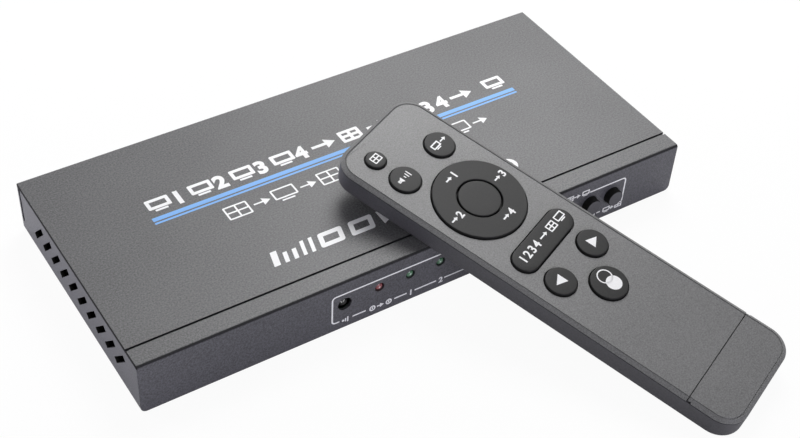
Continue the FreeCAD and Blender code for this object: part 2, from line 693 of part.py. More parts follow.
# Lamps, receiver and buttons at the front

def make_lamp(label, x):
    tip = FRONT + " + lamp_recess + lamp_radius"
    dome = ball(label + "_dome", (x, tip, "lamp_z"), "lamp_radius")
    barrel = rod(label + "_barrel", "+Y", (x, tip, "lamp_z"), "lamp_radius", "lamp_body_length")
    collar = rod(label + "_collar", "+Y", (x, tip + " + lamp_body_length", "lamp_z"),
                 "lamp_radius + lamp_collar", "lamp_collar_length")
    node(label, fuse(label + "_solid", [dome, barrel, collar]))


def make_lamps():
    lamps = [("power_lamp", "power_lamp_x")]
    for index in range(int(size("lamp_count"))):
        lamps.append(("input_lamp_%d" % (index + 1), "first_lamp_x + %d * lamp_pitch" % index))
    holders = []
    back = FRONT + " + lamp_recess + lamp_radius + lamp_body_length + lamp_collar_length"
    for label, x in lamps:
        make_lamp(label, x)
        holders.append(block(label + "_holder", (x + " - holder_width / 2", x + " + holder_width / 2"),
                             (back, back + " + holder_depth"), (BOARD_TOP, "lamp_z + holder_above")))
    node("lamp_holders", group("lamp_holder_set", holders))


def make_receiver():
    front = FRONT + " + eye_recess + eye_dome"
    case = block("eye_case", ("window_x - eye_width / 2", "window_x + eye_width / 2"),
                 (front, front + " + eye_depth"), ("window_z - eye_height / 2", "window_z + eye_height / 2"))
    dome = ball("eye_lens", ("window_x", front, "window_z"), "eye_dome")
    legs = [block("eye_leg_%d" % index,
                  ("window_x + %d * 2 * eye_leg * 2 - eye_leg / 2" % (index - 1),
                   "window_x + %d * 2 * eye_leg * 2 + eye_leg / 2" % (index - 1)),
                  (front + " + eye_depth - eye_leg", front + " + eye_depth"),
                  (BOARD_TOP, "window_z"))
            for index in range(3)]
    node("infrared_receiver", fuse("eye_solid", [case, dome] + legs))


def make_buttons():
    collar_front = FRONT + " + sheet + button_play"
    cap_back = collar_front + " + button_collar"
    switch_front = cap_back + " + plunger_reach"
    switches = []
    for index, side in enumerate(("left", "right")):
        x = BUTTON + " + %d * button_pitch" % index
        body = new_body("button_%s_body" % side)
        stem = new_sketch(body, "button_%s_stem" % side, "XZ_Plane", BACK + " + button_reach")
        draw_circle(stem, x, "button_z", "button_radius")
        pad(body, stem, "button_reach + sheet + button_play + button_collar", backwards=True)
        collar = new_sketch(body, "button_%s_collar" % side, "XZ_Plane", BACK + " - sheet - button_play")
        draw_circle(collar, x, "button_z", "button_radius + button_flange")
        pad(body, collar, "button_collar", backwards=True)
        end = -size("case_depth") / 2 - size("button_reach")
        round_edges(body, "button_%s_rim" % side,
                    lambda bound: same(bound.YMin, end) and bound.YLength < 0.001, "key_round")
        node("button_%s_cap" % side, body)
        plunger = rod("button_%s_plunger_rod" % side, "+Y", (x, cap_back, "button_z"), "plunger_radius",
                      "plunger_reach + plunger_seat")
        node("button_%s_plunger" % side, plunger)
        case = block("switch_%s_case" % side, (x + " - switch_width / 2", x + " + switch_width / 2"),
                     (switch_front, switch_front + " + switch_depth"),
                     (BOARD_TOP, BOARD_TOP + " + switch_height"))
        bore = rod("switch_%s_bore" % side, "+Y", (x, switch_front + " - sheet", "button_z"),
                   "plunger_radius + thread_fit", "sheet + plunger_seat + plunger_room")
        switches.append(cut("switch_%s" % side, case, [bore]))
    node("push_switches", group("push_switch_set", switches))


# Parts on the main board

def make_processor():
    across = ("-chip_side / 2", "chip_side / 2")
    inwards = ("chip_y - chip_side / 2", "chip_y + chip_side / 2")
    pad_base = BOARD_TOP + " + chip_thick"
    node("video_processor", block("processor_case", across, inwards, (BOARD_TOP, pad_base)))
    node("thermal_pad", block("pad_sheet", across, inwards, (pad_base, pad_base + " + pad_thick")))
    base = pad_base + " + pad_thick"
    body = new_body("heat_sink_body")
    count = int(size("sink_fin_count"))
    floor = new_sketch(body, "sink_floor", "XZ_Plane", "-chip_y")
    draw_rectangle(floor, ("-sink_side / 2", "sink_side / 2"), (base, base + " + sink_base"))
    pad(body, floor, "sink_side", both_ways=True)
    fins = new_sketch(body, "sink_fins", "XZ_Plane", "-chip_y")
    for index in range(count):
        left = "-sink_side / 2 + %d * (sink_side - sink_fin_thick) / (sink_fin_count - 1)" % index
        draw_rectangle(fins, (left, left + " + sink_fin_thick"),
                       (base + " + sink_base / 2", base + " + sink_base + sink_fin_height"))
    pad(body, fins, "sink_side", both_ways=True)
    node("heat_sink", body)


def make_chips():
    socket_front = BACK + " - port_depth"
    receivers = []
    rear = socket_front + " - receiver_back"
    for label, x in PORTS:
        receivers.append(block(label + "_chip", (x + " - receiver_side / 2", x + " + receiver_side / 2"),
                               (rear + " - receiver_side", rear),
                               (BOARD_TOP, BOARD_TOP + " + receiver_thick")))
    node("port_chips", group("port_chip_set", receivers))
    memory = []
    for index, sign in enumerate(("-1", "1")):
        y = "chip_y + %s * memory_pitch / 2" % sign
        memory.append(block("memory_%d" % index,
                            ("memory_x - memory_width / 2", "memory_x + memory_width / 2"),
                            (y + " - memory_length / 2", y + " + memory_length / 2"),
                            (BOARD_TOP, BOARD_TOP + " + receiver_thick")))
    node("memory_chips", group("memory_chip_set", memory))
    node("crystal", block("crystal_can", ("crystal_x - crystal_width / 2", "crystal_x + crystal_width / 2"),
                          ("chip_y - crystal_length / 2", "chip_y + crystal_length / 2"),
                          (BOARD_TOP, BOARD_TOP + " + crystal_height")))
    coils = []
    cans = []
    middle = "case_length / 2 - power_inset"
    for index in range(3):
        y = "chip_y + %d * coil_pitch" % (index - 1)
        coils.append(block("coil_%d" % index,
                           (middle + " - coil_side / 2", middle + " + coil_side / 2"),
                           (y + " - coil_side / 2", y + " + coil_side / 2"),
                           (BOARD_TOP, BOARD_TOP + " + coil_height")))
        cans.append(rod("can_%d" % index, "+Z", (middle + " - coil_pitch", y, BOARD_TOP),
                        "capacitor_radius", "capacitor_height"))
    node("power_inductors", group("coil_set", coils))
    node("capacitors", group("can_set", cans))


# The remote control, in its own frame: X across, Y towards its upper end, Z out of the face

SIDE = "remote_width / 2"
END = "remote_length / 2"
CAP_SEAM = "-remote_length / 2 + cap_length"
COLUMN = "(%s - key_column_inset)" % SIDE
RING = "(%s - ring_margin)" % SIDE
RING_V = END + " - ring_inset"
PLATE_V = END + " - plate_inset"
PLATE_HALF = "(%s - plate_margin)" % SIDE
CELL_V = "cell_inset - " + END
CARD_TOP = END + " - card_top_inset"
CARD_BOTTOM = CELL_V + " + cell_radius + card_to_cell"
KEYS = [
    ("screen", "-" + COLUMN, END + " - screen_key_inset", "small_key"),
    ("sound", "-" + COLUMN, END + " - middle_key_inset", "middle_key"),
    ("mode", COLUMN, END + " - middle_key_inset", "middle_key"),
    ("left", "-" + COLUMN, END + " - arrow_inset", "arrow_key"),
    ("right", COLUMN, END + " - arrow_inset", "arrow_key"),
    ("definition", "0", END + " - large_key_inset", "large_key"),
]
COLLAR_TOP = "-face_thick - key_play"
KEY_BOTTOM = "-face_thick - key_play - key_collar"


def is_plan_corner(ends):
    """Upright edges at the remote's outer corners, at the ends named."""
    half = size("remote_length") / 2

    def test(bound):
        upright = bound.XLength < 0.001 and bound.YLength < 0.001 and bound.ZLength > 0.3
        outside = same(abs(bound.XMin), size("remote_width") / 2)
        return upright and outside and any(same(bound.YMin, end * half) for end in ends)
    return test


def is_face_rim(seam):
    """Edges of the flat face, but not the one along the seam."""
    return lambda bound: bound.ZMin > -0.001 and bound.ZLength < 0.001 and not (
        same(bound.YMin, seam) and bound.YLength < 0.001)


def make_top_shell():
    body = new_body("remote_face_body")
    plate = new_sketch(body, "face_plate", "XY_Plane", "-face_thick")
    draw_rectangle(plate, ("-" + SIDE, SIDE), (CAP_SEAM, END))
    pad(body, plate, "face_thick")
    round_edges(body, "face_corners", is_plan_corner([1]), "remote_corner")
    seam = -size("remote_length") / 2 + size("cap_length")
    bevel_edges(body, "face_bevel", is_face_rim(seam), "bevel_width", "bevel_drop")
    inset = "(remote_wall + rim_gap)"
    rim = new_sketch(body, "face_rim", "XY_Plane", "-face_thick - rim_height")
    for side in ("-1", "1"):
        outer = "%s * (%s - %s)" % (side, SIDE, inset)
        inner = "%s * (%s - %s - rim_thick)" % (side, SIDE, inset)
        across = (outer, inner) if side == "-1" else (inner, outer)
        draw_rectangle(rim, across, ("%s + cap_rail" % CAP_SEAM, END + " - remote_corner"))
    pad(body, rim, "rim_height + face_thick / 2")
    holes = new_sketch(body, "key_holes", "XY_Plane")
    for label, x, y, radius in KEYS:
        draw_circle(holes, x, y, radius + " + key_gap")
    draw_circle(holes, "0", RING_V, RING + " + key_gap")
    pocket(body, holes, "4 * face_thick", both_ways=True)
    plate_hole = new_sketch(body, "plate_hole", "XY_Plane")
    half = PLATE_HALF + " + key_gap"
    high = "plate_width / 2 + key_gap"
    draw_rectangle(plate_hole, ("-(%s)" % half, half), (PLATE_V + " - (%s)" % high, PLATE_V + " + " + high))
    pocket(body, plate_hole, "4 * face_thick", both_ways=True)
    reach = size("remote_width") / 2 - size("plate_margin") + size("key_gap")
    round_edges(body, "plate_hole_ends",
                lambda bound: same(abs(bound.XMin), reach) and bound.XLength < 0.001 and bound.YLength < 0.001
                and bound.ZLength > 0.3, high + " - end_flat")
    node("remote_face", body, remote=True)


def make_end_cap():
    body = new_body("remote_cap_body")
    plate = new_sketch(body, "cap_plate", "XY_Plane", "-face_thick + cap_play")
    draw_rectangle(plate, ("-" + SIDE, SIDE), ("-" + END, CAP_SEAM + " - cap_gap"))
    pad(body, plate, "face_thick - cap_play")
    round_edges(body, "cap_corners", is_plan_corner([-1]), "remote_corner")
    seam = -size("remote_length") / 2 + size("cap_length") - size("cap_gap")
    bevel_edges(body, "cap_bevel", is_face_rim(seam), "bevel_width", "bevel_drop")
    rails = new_sketch(body, "cap_rails", "XY_Plane", "-face_thick - cap_rail_height")
    for side in ("-cap_rail_u", "cap_rail_u"):
        draw_rectangle(rails, (side + " - cap_rail / 2", side + " + cap_rail / 2"),
                       ("-%s + 2 * bevel_width" % END, CAP_SEAM + " - cap_gap"))
    pad(body, rails, "cap_rail_height + face_thick / 2")
    notches = new_sketch(body, "cap_notches", "XY_Plane")
    for side in ("-1", "1"):
        edge = ["%s * (%s - cap_notch_depth)" % (side, SIDE), "%s * (%s + cap_notch_depth)" % (side, SIDE)]
        across = tuple(reversed(edge)) if side == "-1" else tuple(edge)
        draw_rectangle(notches, across, (CAP_SEAM + " - cap_gap - cap_notch", CAP_SEAM + " + cap_notch"))
    pocket(body, notches, "4 * face_thick", both_ways=True)
    node("remote_end_cap", body, remote=True)


def make_lower_shell():
    body = new_body("remote_back_body")
    block_sketch = new_sketch(body, "back_block", "XY_Plane", "-remote_thick")
    draw_rectangle(block_sketch, ("-" + SIDE, SIDE), ("-" + END, END))
    pad(body, block_sketch, "remote_thick - face_thick")
    hollow = new_sketch(body, "back_hollow", "XY_Plane", "-remote_thick + remote_floor")
    draw_rectangle(hollow, ("-%s + remote_wall" % SIDE, SIDE + " - remote_wall"),
                   ("-%s + remote_wall" % END, END + " - remote_wall"))
    pocket(body, hollow, "remote_thick", backwards=True)
    inner = size("remote_width") / 2 - size("remote_wall")
    round_edges(body, "back_inner_corners",
                lambda bound: same(abs(bound.XMin), inner) and bound.XLength < 0.001 and bound.YLength < 0.001
                and bound.ZLength > 0.3, "remote_corner - remote_wall")
    round_edges(body, "back_corners", is_plan_corner([-1, 1]), "remote_corner")
    bottom = -size("remote_thick")
    round_edges(body, "back_edge", lambda bound: same(bound.ZMin, bottom) and bound.ZLength < 0.001,
                "back_round")
    posts = new_sketch(body, "back_posts", "XY_Plane", "-remote_thick + remote_floor / 2")
    across = "%s - remote_wall - card_margin - post_inset" % SIDE
    for x in ("-(%s)" % across, across):
        for y in (CARD_BOTTOM + " + post_inset", CARD_TOP + " - post_inset"):
            draw_circle(posts, x, y, "post_radius")
    pad(body, posts, "remote_thick - remote_floor / 2 - mat_depth - mat_thick - card_thick")
    window = new_sketch(body, "emitter_window", "XZ_Plane", "-" + END)
    draw_circle(window, "0", "-emitter_depth", "emitter_radius + key_gap")
    pocket(body, window, "4 * remote_wall", both_ways=True)
    slots = new_sketch(body, "runner_slots", "XY_Plane", "-face_thick - cap_rail_height - cap_rail_fit")
    half = "(cap_rail / 2 + cap_rail_fit)"
    for side in ("-cap_rail_u", "cap_rail_u"):
        draw_rectangle(slots, (side + " - " + half, side + " + " + half),
                       ("-%s - remote_wall" % END, "-%s + 2 * remote_wall" % END))
    pocket(body, slots, "face_thick + cap_rail_height", backwards=True)
    node("remote_back", body, remote=True)


def make_key(label, x, y, radius):
    body = new_body("key_%s_body" % label)
    stem = new_sketch(body, "key_%s_stem" % label, "XY_Plane", KEY_BOTTOM)
    draw_circle(stem, x, y, radius)
    pad(body, stem, "key_proud + face_thick + key_play + key_collar")
    top = size("key_proud")
    round_edges(body, "key_%s_rim" % label, lambda bound: same(bound.ZMin, top) and bound.ZLength < 0.001,
                "key_round")
    collar = new_sketch(body, "key_%s_collar" % label, "XY_Plane", KEY_BOTTOM)
    draw_circle(collar, x, y, radius + " + key_gap + key_flange")
    pad(body, collar, "key_collar")
    node("key_" + label, body, remote=True)


def make_ring_and_centre():
    body = new_body("key_ring_body")
    band = new_sketch(body, "ring_band", "XY_Plane", KEY_BOTTOM)
    draw_circle(band, "0", RING_V, RING)
    draw_circle(band, "0", RING_V, "ring_bore")
    pad(body, band, "key_proud + face_thick + key_play + key_collar")
    top = size("key_proud")
    round_edges(body, "ring_rims", lambda bound: same(bound.ZMin, top) and bound.ZLength < 0.001, "key_round")
    collar = new_sketch(body, "ring_collar", "XY_Plane", KEY_BOTTOM)
    draw_circle(collar, "0", RING_V, RING + " + key_gap + key_flange")
    draw_circle(collar, "0", RING_V, "ring_bore + key_flange")
    pad(body, collar, "key_collar")
    node("key_ring", body, remote=True)
    centre = new_body("key_centre_body")
    stem = new_sketch(centre, "centre_stem", "XY_Plane", KEY_BOTTOM)
    draw_circle(stem, "0", RING_V, "centre_key")
    pad(centre, stem, "key_proud + face_thick + key_play + key_collar")
    round_edges(centre, "centre_rim", lambda bound: same(bound.ZMin, top) and bound.ZLength < 0.001,
                "key_round")
    node("key_centre", centre, remote=True)


def make_name_plate():
    body = new_body("name_plate_body")
    stem = new_sketch(body, "name_plate_stem", "XY_Plane", "-mat_depth")
    draw_rectangle(stem, ("-" + PLATE_HALF, PLATE_HALF),
                   (PLATE_V + " - plate_width / 2", PLATE_V + " + plate_width / 2"))
    pad(body, stem, "key_proud + mat_depth")
    round_edges(body, "name_plate_ends", lambda bound: bound.ZLength > 1, "plate_width / 2 - end_flat")
    top = size("key_proud")
    round_edges(body, "name_plate_rim", lambda bound: same(bound.ZMin, top) and bound.ZLength < 0.001,
                "key_round")
    node("remote_name_plate", body, remote=True)


def make_remote_inside():
    across = "%s - remote_wall - card_margin" % SIDE
    x_range = ("-(%s)" % across, across)
    y_range = (CARD_BOTTOM, CARD_TOP)
    card_top = "-mat_depth - mat_thick"
    node("remote_mat", block("mat_sheet", x_range, y_range, (card_top, "-mat_depth")), remote=True)
    card_bottom = card_top + " - card_thick"
    node("remote_card", block("card_plate", x_range, y_range, (card_bottom, card_top)), remote=True)
    node("remote_chip", block("card_chip", ("-chip_small / 2", "chip_small / 2"),
                              (RING_V + " - chip_small / 2", RING_V + " + chip_small / 2"),
                              (card_bottom + " - chip_small_thick", card_bottom)), remote=True)
    tip = END + " - emitter_recess - emitter_radius"
    dome = ball("emitter_dome", ("0", tip, "-emitter_depth"), "emitter_radius")
    barrel = rod("emitter_barrel", "-Y", ("0", tip, "-emitter_depth"), "emitter_radius",
                 tip + " - (%s)" % CARD_TOP)
    node("remote_emitter", fuse("emitter_solid", [dome, barrel]), remote=True)
    floor = "-remote_thick + remote_floor"
    cell_base = floor + " + contact_thick"
    cell = rod("cell_disc", "+Z", ("0", CELL_V, cell_base), "cell_radius", "cell_thick")
    node("coin_cell", cell, remote=True)
    half = "contact_width / 2"
    sole = block("contact_sole", ("-" + half, half), (CELL_V, CARD_BOTTOM + " - contact_thick"),
                 (floor, cell_base))
    riser = block("contact_riser", ("-" + half, half), (CARD_BOTTOM + " - 2 * contact_thick", CARD_BOTTOM),
                  (floor, card_top))
    rim = CELL_V + " + cell_radius"
    clip = block("contact_clip", ("1.5 * contact_width", "2.5 * contact_width"),
                 (rim, rim + " + contact_thick"), (cell_base, card_top + " + contact_thick"))
    foot = block("contact_foot", ("1.5 * contact_width", "2.5 * contact_width"), (rim, CARD_BOTTOM),
                 (card_bottom, card_top))
    node("cell_contacts", group("contact_set", [fuse("contact_low", [sole, riser]),
                                                fuse("contact_side", [clip, foot])]), remote=True)


def remote_pose():
    """The remote's back lies on the box's front bend, and its lowest corner stands on the surface."""
    tilt = math.radians(size("remote_tilt"))
    yaw = math.radians(size("remote_yaw"))
    normal = Vector(0, -math.sin(tilt), math.cos(tilt))
    right = Vector(1, 0, 0)
    uphill = normal.cross(right)
    across = right * math.cos(yaw) + uphill * math.sin(yaw)
    along = normal.cross(across)
    corner = size("remote_corner")
    edge = size("back_round")
    thick = size("remote_thick")
    low = (across.z * (size("remote_width") / 2 - corner) + along.z * (size("remote_length") / 2 - corner)
           + (corner - edge) * math.sin(tilt) + (thick - edge) * math.cos(tilt) + edge)
    height = low + size("rest_gap")
    bend = Vector(0, -size("case_depth") / 2 + size("sheet"), size("case_height") - size("sheet"))
    reach = thick + size("rest_gap") + size("sheet")
    depth = bend.y + ((height - bend.z) * normal.z - reach) / math.sin(tilt)
    matrix = FreeCAD.Matrix(across.x, along.x, normal.x, size("remote_x"),
                            across.y, along.y, normal.y, depth,
                            across.z, along.z, normal.z, height, 0, 0, 0, 1)
    return Placement(matrix), across, along, normal


make_base_tray()
make_front_panel()
make_rear_panel()
make_top_cover()
make_board_and_spacers()
make_cover_fixings()
make_video_sockets()
make_power_jack()
make_lamps()
make_receiver()
make_buttons()
make_processor()
make_chips()
make_top_shell()
make_end_cap()
make_lower_shell()
for key in KEYS:
    make_key(*key)
make_ring_and_centre()
make_name_plate()
make_remote_inside()
doc.recompute()

pose, across, along, normal = remote_pose()
for item in remote_parts:
    item.Placement = pose.multiply(item.Placement)
doc.recompute()

faults = [item.Name for item in doc.Objects if "Invalid" in item.State or "Error" in item.State]
for label, item in nodes.items():
    if item.Shape.isNull() or not item.Shape.isValid() or not item.Shape.Solids:
        faults.append(label)
if faults:
    raise RuntimeError("failed: " + ", ".join(faults))
os.makedirs("parts", exist_ok=True)
for label, item in nodes.items():
    item.Shape.exportStep("parts/%s.step" % label)
print(len(nodes), "nodes written")
print("remote axes: across", across, "along", along, "normal", normal, "centre", pose.Base)
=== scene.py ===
"""A four-way video multiviewer box with its remote control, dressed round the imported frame.

Every piece is modelled in millimetres in the flat frame of the face that it lies on,
and set down on that face when it is finished.
"""

import json
import math

import bpy
from mathutils import Matrix, Vector


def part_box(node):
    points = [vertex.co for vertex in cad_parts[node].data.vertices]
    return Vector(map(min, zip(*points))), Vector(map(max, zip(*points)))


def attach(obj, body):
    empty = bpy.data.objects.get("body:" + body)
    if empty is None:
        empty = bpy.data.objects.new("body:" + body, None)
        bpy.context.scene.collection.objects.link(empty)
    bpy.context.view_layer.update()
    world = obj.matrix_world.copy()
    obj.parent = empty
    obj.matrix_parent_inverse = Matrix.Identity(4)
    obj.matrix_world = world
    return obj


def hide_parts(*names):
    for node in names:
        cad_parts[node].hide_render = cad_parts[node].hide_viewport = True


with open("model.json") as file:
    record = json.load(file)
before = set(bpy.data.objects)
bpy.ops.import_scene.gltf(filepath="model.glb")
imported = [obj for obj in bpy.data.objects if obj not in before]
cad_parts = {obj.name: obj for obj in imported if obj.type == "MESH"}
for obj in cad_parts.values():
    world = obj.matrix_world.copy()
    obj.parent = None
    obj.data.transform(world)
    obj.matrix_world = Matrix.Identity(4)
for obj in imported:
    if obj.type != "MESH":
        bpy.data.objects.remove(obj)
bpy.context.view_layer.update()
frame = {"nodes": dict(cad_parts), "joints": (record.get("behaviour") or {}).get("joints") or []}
nodes = frame["nodes"]
joints = {joint["name"]: joint for joint in frame["joints"]}
MM = 0.001


# Frames of the faces, in millimetres

def face_frame(across, along, outwards, origin):
    """The matrix that sets a flat drawing in millimetres down on a face."""
    turned = Matrix((across, along, outwards)).transposed().to_4x4()
    return Matrix.Translation(Vector(origin) * MM) @ turned @ Matrix.Scale(MM, 4)


CASE_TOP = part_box("top_cover")[1].z / MM
CASE_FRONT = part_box("front_panel")[0].y / MM
CASE_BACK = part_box("rear_panel")[1].y / MM

SOLID = face_frame((1, 0, 0), (0, 1, 0), (0, 0, 1), (0, 0, 0))
ON_TOP = face_frame((1, 0, 0), (0, 1, 0), (0, 0, 1), (0, 0, CASE_TOP))
ON_FRONT = face_frame((1, 0, 0), (0, 0, 1), (0, -1, 0), (0, CASE_FRONT, 0))
ON_REAR = face_frame((-1, 0, 0), (0, 0, 1), (0, 1, 0), (0, CASE_BACK, 0))


def spread_along(name, direction):
    """How far a node reaches along a direction: lowest and highest."""
    reach = [point.co.dot(direction) for point in nodes[name].data.vertices]
    return min(reach), max(reach)


def remote_face_frame():
    """The remote's own frame: across, towards its upper end, and out of its face."""
    outwards = -Vector(joints["centre_key_press"]["axis"]).normalized()
    along = -Vector(joints["end_cap_slide"]["axis"])
    along = (along - outwards * along.dot(outwards)).normalized()
    across = along.cross(outwards)
    side = sum(spread_along("remote_back", across)) / 2
    end = sum(spread_along("remote_back", along)) / 2
    top = spread_along("remote_face", outwards)[1]
    centre = across * side + along * end + outwards * top
    return face_frame(across, along, outwards, centre / MM)


ON_REMOTE = remote_face_frame()

# The remote's face, its end cap's seam and its keys, in millimetres
FACE_THICK = 1.1
FACE_WIDE, FACE_LONG = 40.6, 146.6
FACE_CORNER = 8.0
SEAM_TOP, SEAM_BOTTOM = -56.4, -56.7
KEY_PROUD = 0.8
KEY_GAP = 0.35


# Finishes

class Tone:
    """A value or colour inside a finish; arithmetic on it adds Math nodes."""

    def __init__(self, finish, socket):
        self.finish = finish
        self.socket = socket

    def maths(self, operation, *values):
        return self.finish.add("ShaderNodeMath", {"operation": operation}, dict(enumerate(values)))

    def __add__(self, other):
        return self.maths("ADD", self, other)

    def __sub__(self, other):
        return self.maths("SUBTRACT", self, other)

    def __rsub__(self, other):
        return self.maths("SUBTRACT", other, self)

    def __mul__(self, other):
        return self.maths("MULTIPLY", self, other)

    def __truediv__(self, other):
        return self.maths("DIVIDE", self, other)

    def __abs__(self):
        return self.maths("ABSOLUTE", self)

    __radd__ = __add__


class Finish:
    """One material: a Principled shader and the nodes that vary it over a surface."""

    def __init__(self, name, colour, rough, **fixed):
        self.material = bpy.data.materials.new(name)
        self.material.use_nodes = True
        self.tree = self.material.node_tree
        self.shader = self.tree.nodes["Principled BSDF"]
        self.use(Base_Color=colour, Roughness=rough, **fixed)

    def set(self, node, values):
        for name, value in values.items():
            socket = node.inputs[name]
            if isinstance(value, Tone):
                self.tree.links.new(value.socket, socket)
            elif isinstance(value, tuple) and socket.type == "RGBA":
                socket.default_value = (*value, 1)
            else:
                socket.default_value = value

    def add(self, kind, settings, values, out=0):
        """Adds a node: its settings first, then the values or links of its sockets."""
        node = self.tree.nodes.new(kind)
        for name, value in settings.items():
            if name == "stops":
                ramp = node.color_ramp
                while len(ramp.elements) < len(value):
                    ramp.elements.new(0.5)
                for stop, (spot, level) in zip(ramp.elements, value):
                    stop.position = spot
                    stop.color = (level, level, level, 1)
            else:
                setattr(node, name, value)
        self.set(node, values)
        return Tone(self, node.outputs[out])

    def place(self):
        return self.add("ShaderNodeTexCoord", {}, {}, out="Object")

    def part(self, vector, axis):
        return self.add("ShaderNodeSeparateXYZ", {}, {0: vector}, out=axis)

    def current(self, name):
        """What drives one of the shader's inputs so far."""
        return Tone(self, self.shader.inputs[name].links[0].from_socket)

    def facing(self, axis):
        """How far a surface faces along an axis."""
        return self.part(self.add("ShaderNodeNewGeometry", {}, {}, out="Normal"), axis)

    def within(self, axis, span, *stops):
        """A ramp over the distance from the middle along an axis; span and stops are in millimetres."""
        away = abs(self.part(self.place(), axis)) / (span * MM)
        return self.ramp(away, *((spot / span, level) for spot, level in stops))

    def stretched(self, scale):
        """Object coordinates drawn out along an axis, for brushed and extruded metal."""
        return self.add("ShaderNodeMapping", {}, {"Vector": self.place(), "Scale": scale})

    def noise(self, scale, detail=2.0, rough=0.5, where=None):
        return self.add("ShaderNodeTexNoise", {},
                        {"Vector": where or self.place(), "Scale": scale, "Detail": detail,
                         "Roughness": rough})

    def ramp(self, value, *stops):
        return self.add("ShaderNodeValToRGB", {"stops": stops}, {0: value})

    def blend(self, factor, first, second):
        return self.add("ShaderNodeMix", {"data_type": "RGBA"}, {0: factor, 6: first, 7: second}, out=2)

    def blend_by(self, kind, first, second):
        return self.add("ShaderNodeMix", {"data_type": "RGBA", "blend_type": kind},
                        {0: 1.0, 6: first, 7: second}, out=2)

    def bump(self, height, strength, depth):
        return self.add("ShaderNodeBump", {}, {"Height": height, "Strength": strength, "Distance": depth})

    def use(self, **values):
        self.set(self.shader, {name.replace("_", " "): value for name, value in values.items()})


def shade(level, red=1.0, green=1.0, blue=1.0):
    """A colour from a plain 0 to 255 level, as a picture shows it."""
    part = level / 255
    linear = part / 12.92 if part <= 0.04045 else ((part + 0.055) / 1.055) ** 2.4
    return (linear * red, linear * green, linear * blue)


CLOUD_SCALE, CLOUD_SHARE = 22.0, 0.15
MATT = 0.5


def grained(name, dark, light, rough, grain, depth, **fixed):
    """A sprayed or moulded surface: fine mottled grain over slow cloudy changes."""
    finish = Finish(name, light, rough, **{"Specular_IOR_Level": 0.36, **fixed})
    speckle = finish.noise(grain, detail=3.0, rough=0.7)
    cloud = finish.noise(CLOUD_SCALE, detail=2.0)
    mix = finish.ramp(speckle * (1.0 - CLOUD_SHARE) + cloud * CLOUD_SHARE, (0.36, 0.0), (0.64, 1.0))
    finish.use(Base_Color=finish.blend(mix, dark, light),
               Roughness=rough - 0.07 + speckle * 0.14,
               Normal=finish.bump(speckle, 0.35, depth))
    return finish


CASE_WIDE, CASE_DEEP, CASE_HIGH = 200, 90, 20


def powder_coat():
    """Speckled grey powder, with painted shade: the walls darker and cooler than the top, and the seams and
    the vents' inner walls painted dark.
    """
    finish = grained("case_powder_coat_and_painted_shade", shade(70, 1, 1, 1.02), shade(110, 1, 1, 1.02), 0.46, 1750.0,
                     0.00012, Specular_IOR_Level=0.4)
    speckled, grain = finish.current("Base Color"), finish.current("Roughness")
    upwards = finish.ramp(finish.facing("Z"), (0.55, 0.0), (0.9, 1.0))
    forwards = finish.ramp(finish.facing("Y") * -1.0, (0.3, 0.0), (0.5, 1.0))
    sideways = finish.ramp(abs(finish.facing("X")), (0.3, 0.0), (0.5, 1.0))
    # Painted shade: the walls get a darker, cooler copy of the paint than the top.
    wall_shade = finish.blend_by("MULTIPLY", speckled, shade(226, 0.97, 0.96, 1.09))
    paint_and_wall_shade = finish.blend(upwards, wall_shade, speckled)
    # Painted shade along the front bend and in the seams under the cover's side edges; the roughness there
    # is raised to dull the sheen.
    front_seam_shade = finish.within("Z", CASE_HIGH, (19.1, 0.0), (19.44, 1.0)) * forwards * 0.85
    side_seam_shade = finish.within("Z", CASE_HIGH, (18.8, 0.0), (18.96, 1.0)) * sideways
    seam = front_seam_shade + side_seam_shade
    # Painted shade: the vents' inner walls painted near black.
    in_wall = finish.within("X", CASE_WIDE / 2, (98.5, 0.0), (98.7, 1.0)) * (1.0 - sideways)
    off_corners = finish.within("Y", CASE_DEEP / 2, (42.75, 1.0), (43.2, 0.0))
    vent_height = finish.within("Z", CASE_HIGH, (2.4, 0.0), (2.6, 1.0), (17.6, 1.0), (17.8, 0.0))
    vent_shade = in_wall * off_corners * vent_height
    finish.use(Base_Color=finish.blend(vent_shade, finish.blend(seam, paint_and_wall_shade, shade(12)), shade(3)),
               Roughness=grain + seam * MATT)
    return finish


def button_finish():
    """Caps sprayed grey like the panel round them, their sides painted near black and matt as painted shade.
    """
    finish = grained("button_plastic", shade(65, 1, 0.98, 1.15), shade(79, 1, 0.98, 1.15), 0.45, 1600.0,
                     0.00004)
    sprayed, grain = finish.current("Base Color"), finish.current("Roughness")
    forwards = finish.ramp(finish.facing("Y") * -1.0, (0.8, 0.0), (0.93, 1.0))
    # Painted shade: every face but the front is painted near black.
    finish.use(Base_Color=finish.blend(forwards, shade(2), sprayed),
               Roughness=grain + (1.0 - forwards) * MATT)
    return finish


case_paint = powder_coat()
remote_paint = grained("remote_lacquer", shade(94), shade(126), 0.42, 2300.0, 0.00008,
                       Specular_IOR_Level=0.4)
remote_plastic = grained("remote_shell_plastic", shade(63, 1, 0.98, 1.1), shade(77, 1, 0.98, 1.1),
                         0.5, 1800.0, 0.00008)
key_rubber = grained("key_silicone", shade(28), shade(36), 0.5, 1500.0, 0.00003, Specular_IOR_Level=0.24)
button_plastic = button_finish()
black_plastic = grained("black_plastic", shade(9), shade(18), 0.4, 900.0, 0.00004)
white_plastic = grained("white_plastic", shade(196), shade(220), 0.45, 700.0, 0.00003)
mat_rubber = grained("contact_mat", shade(176, 1, 1, 0.97), shade(206, 1, 1, 0.97), 0.5, 600.0, 0.00005)
chip_resin = grained("chip_epoxy", shade(40), shade(54), 0.55, 2400.0, 0.00005)
pad_silicone = grained("heat_pad", shade(140, 0.9, 0.97, 1.1), shade(170, 0.9, 0.97, 1.1), 0.6, 900.0,
                       0.00006)
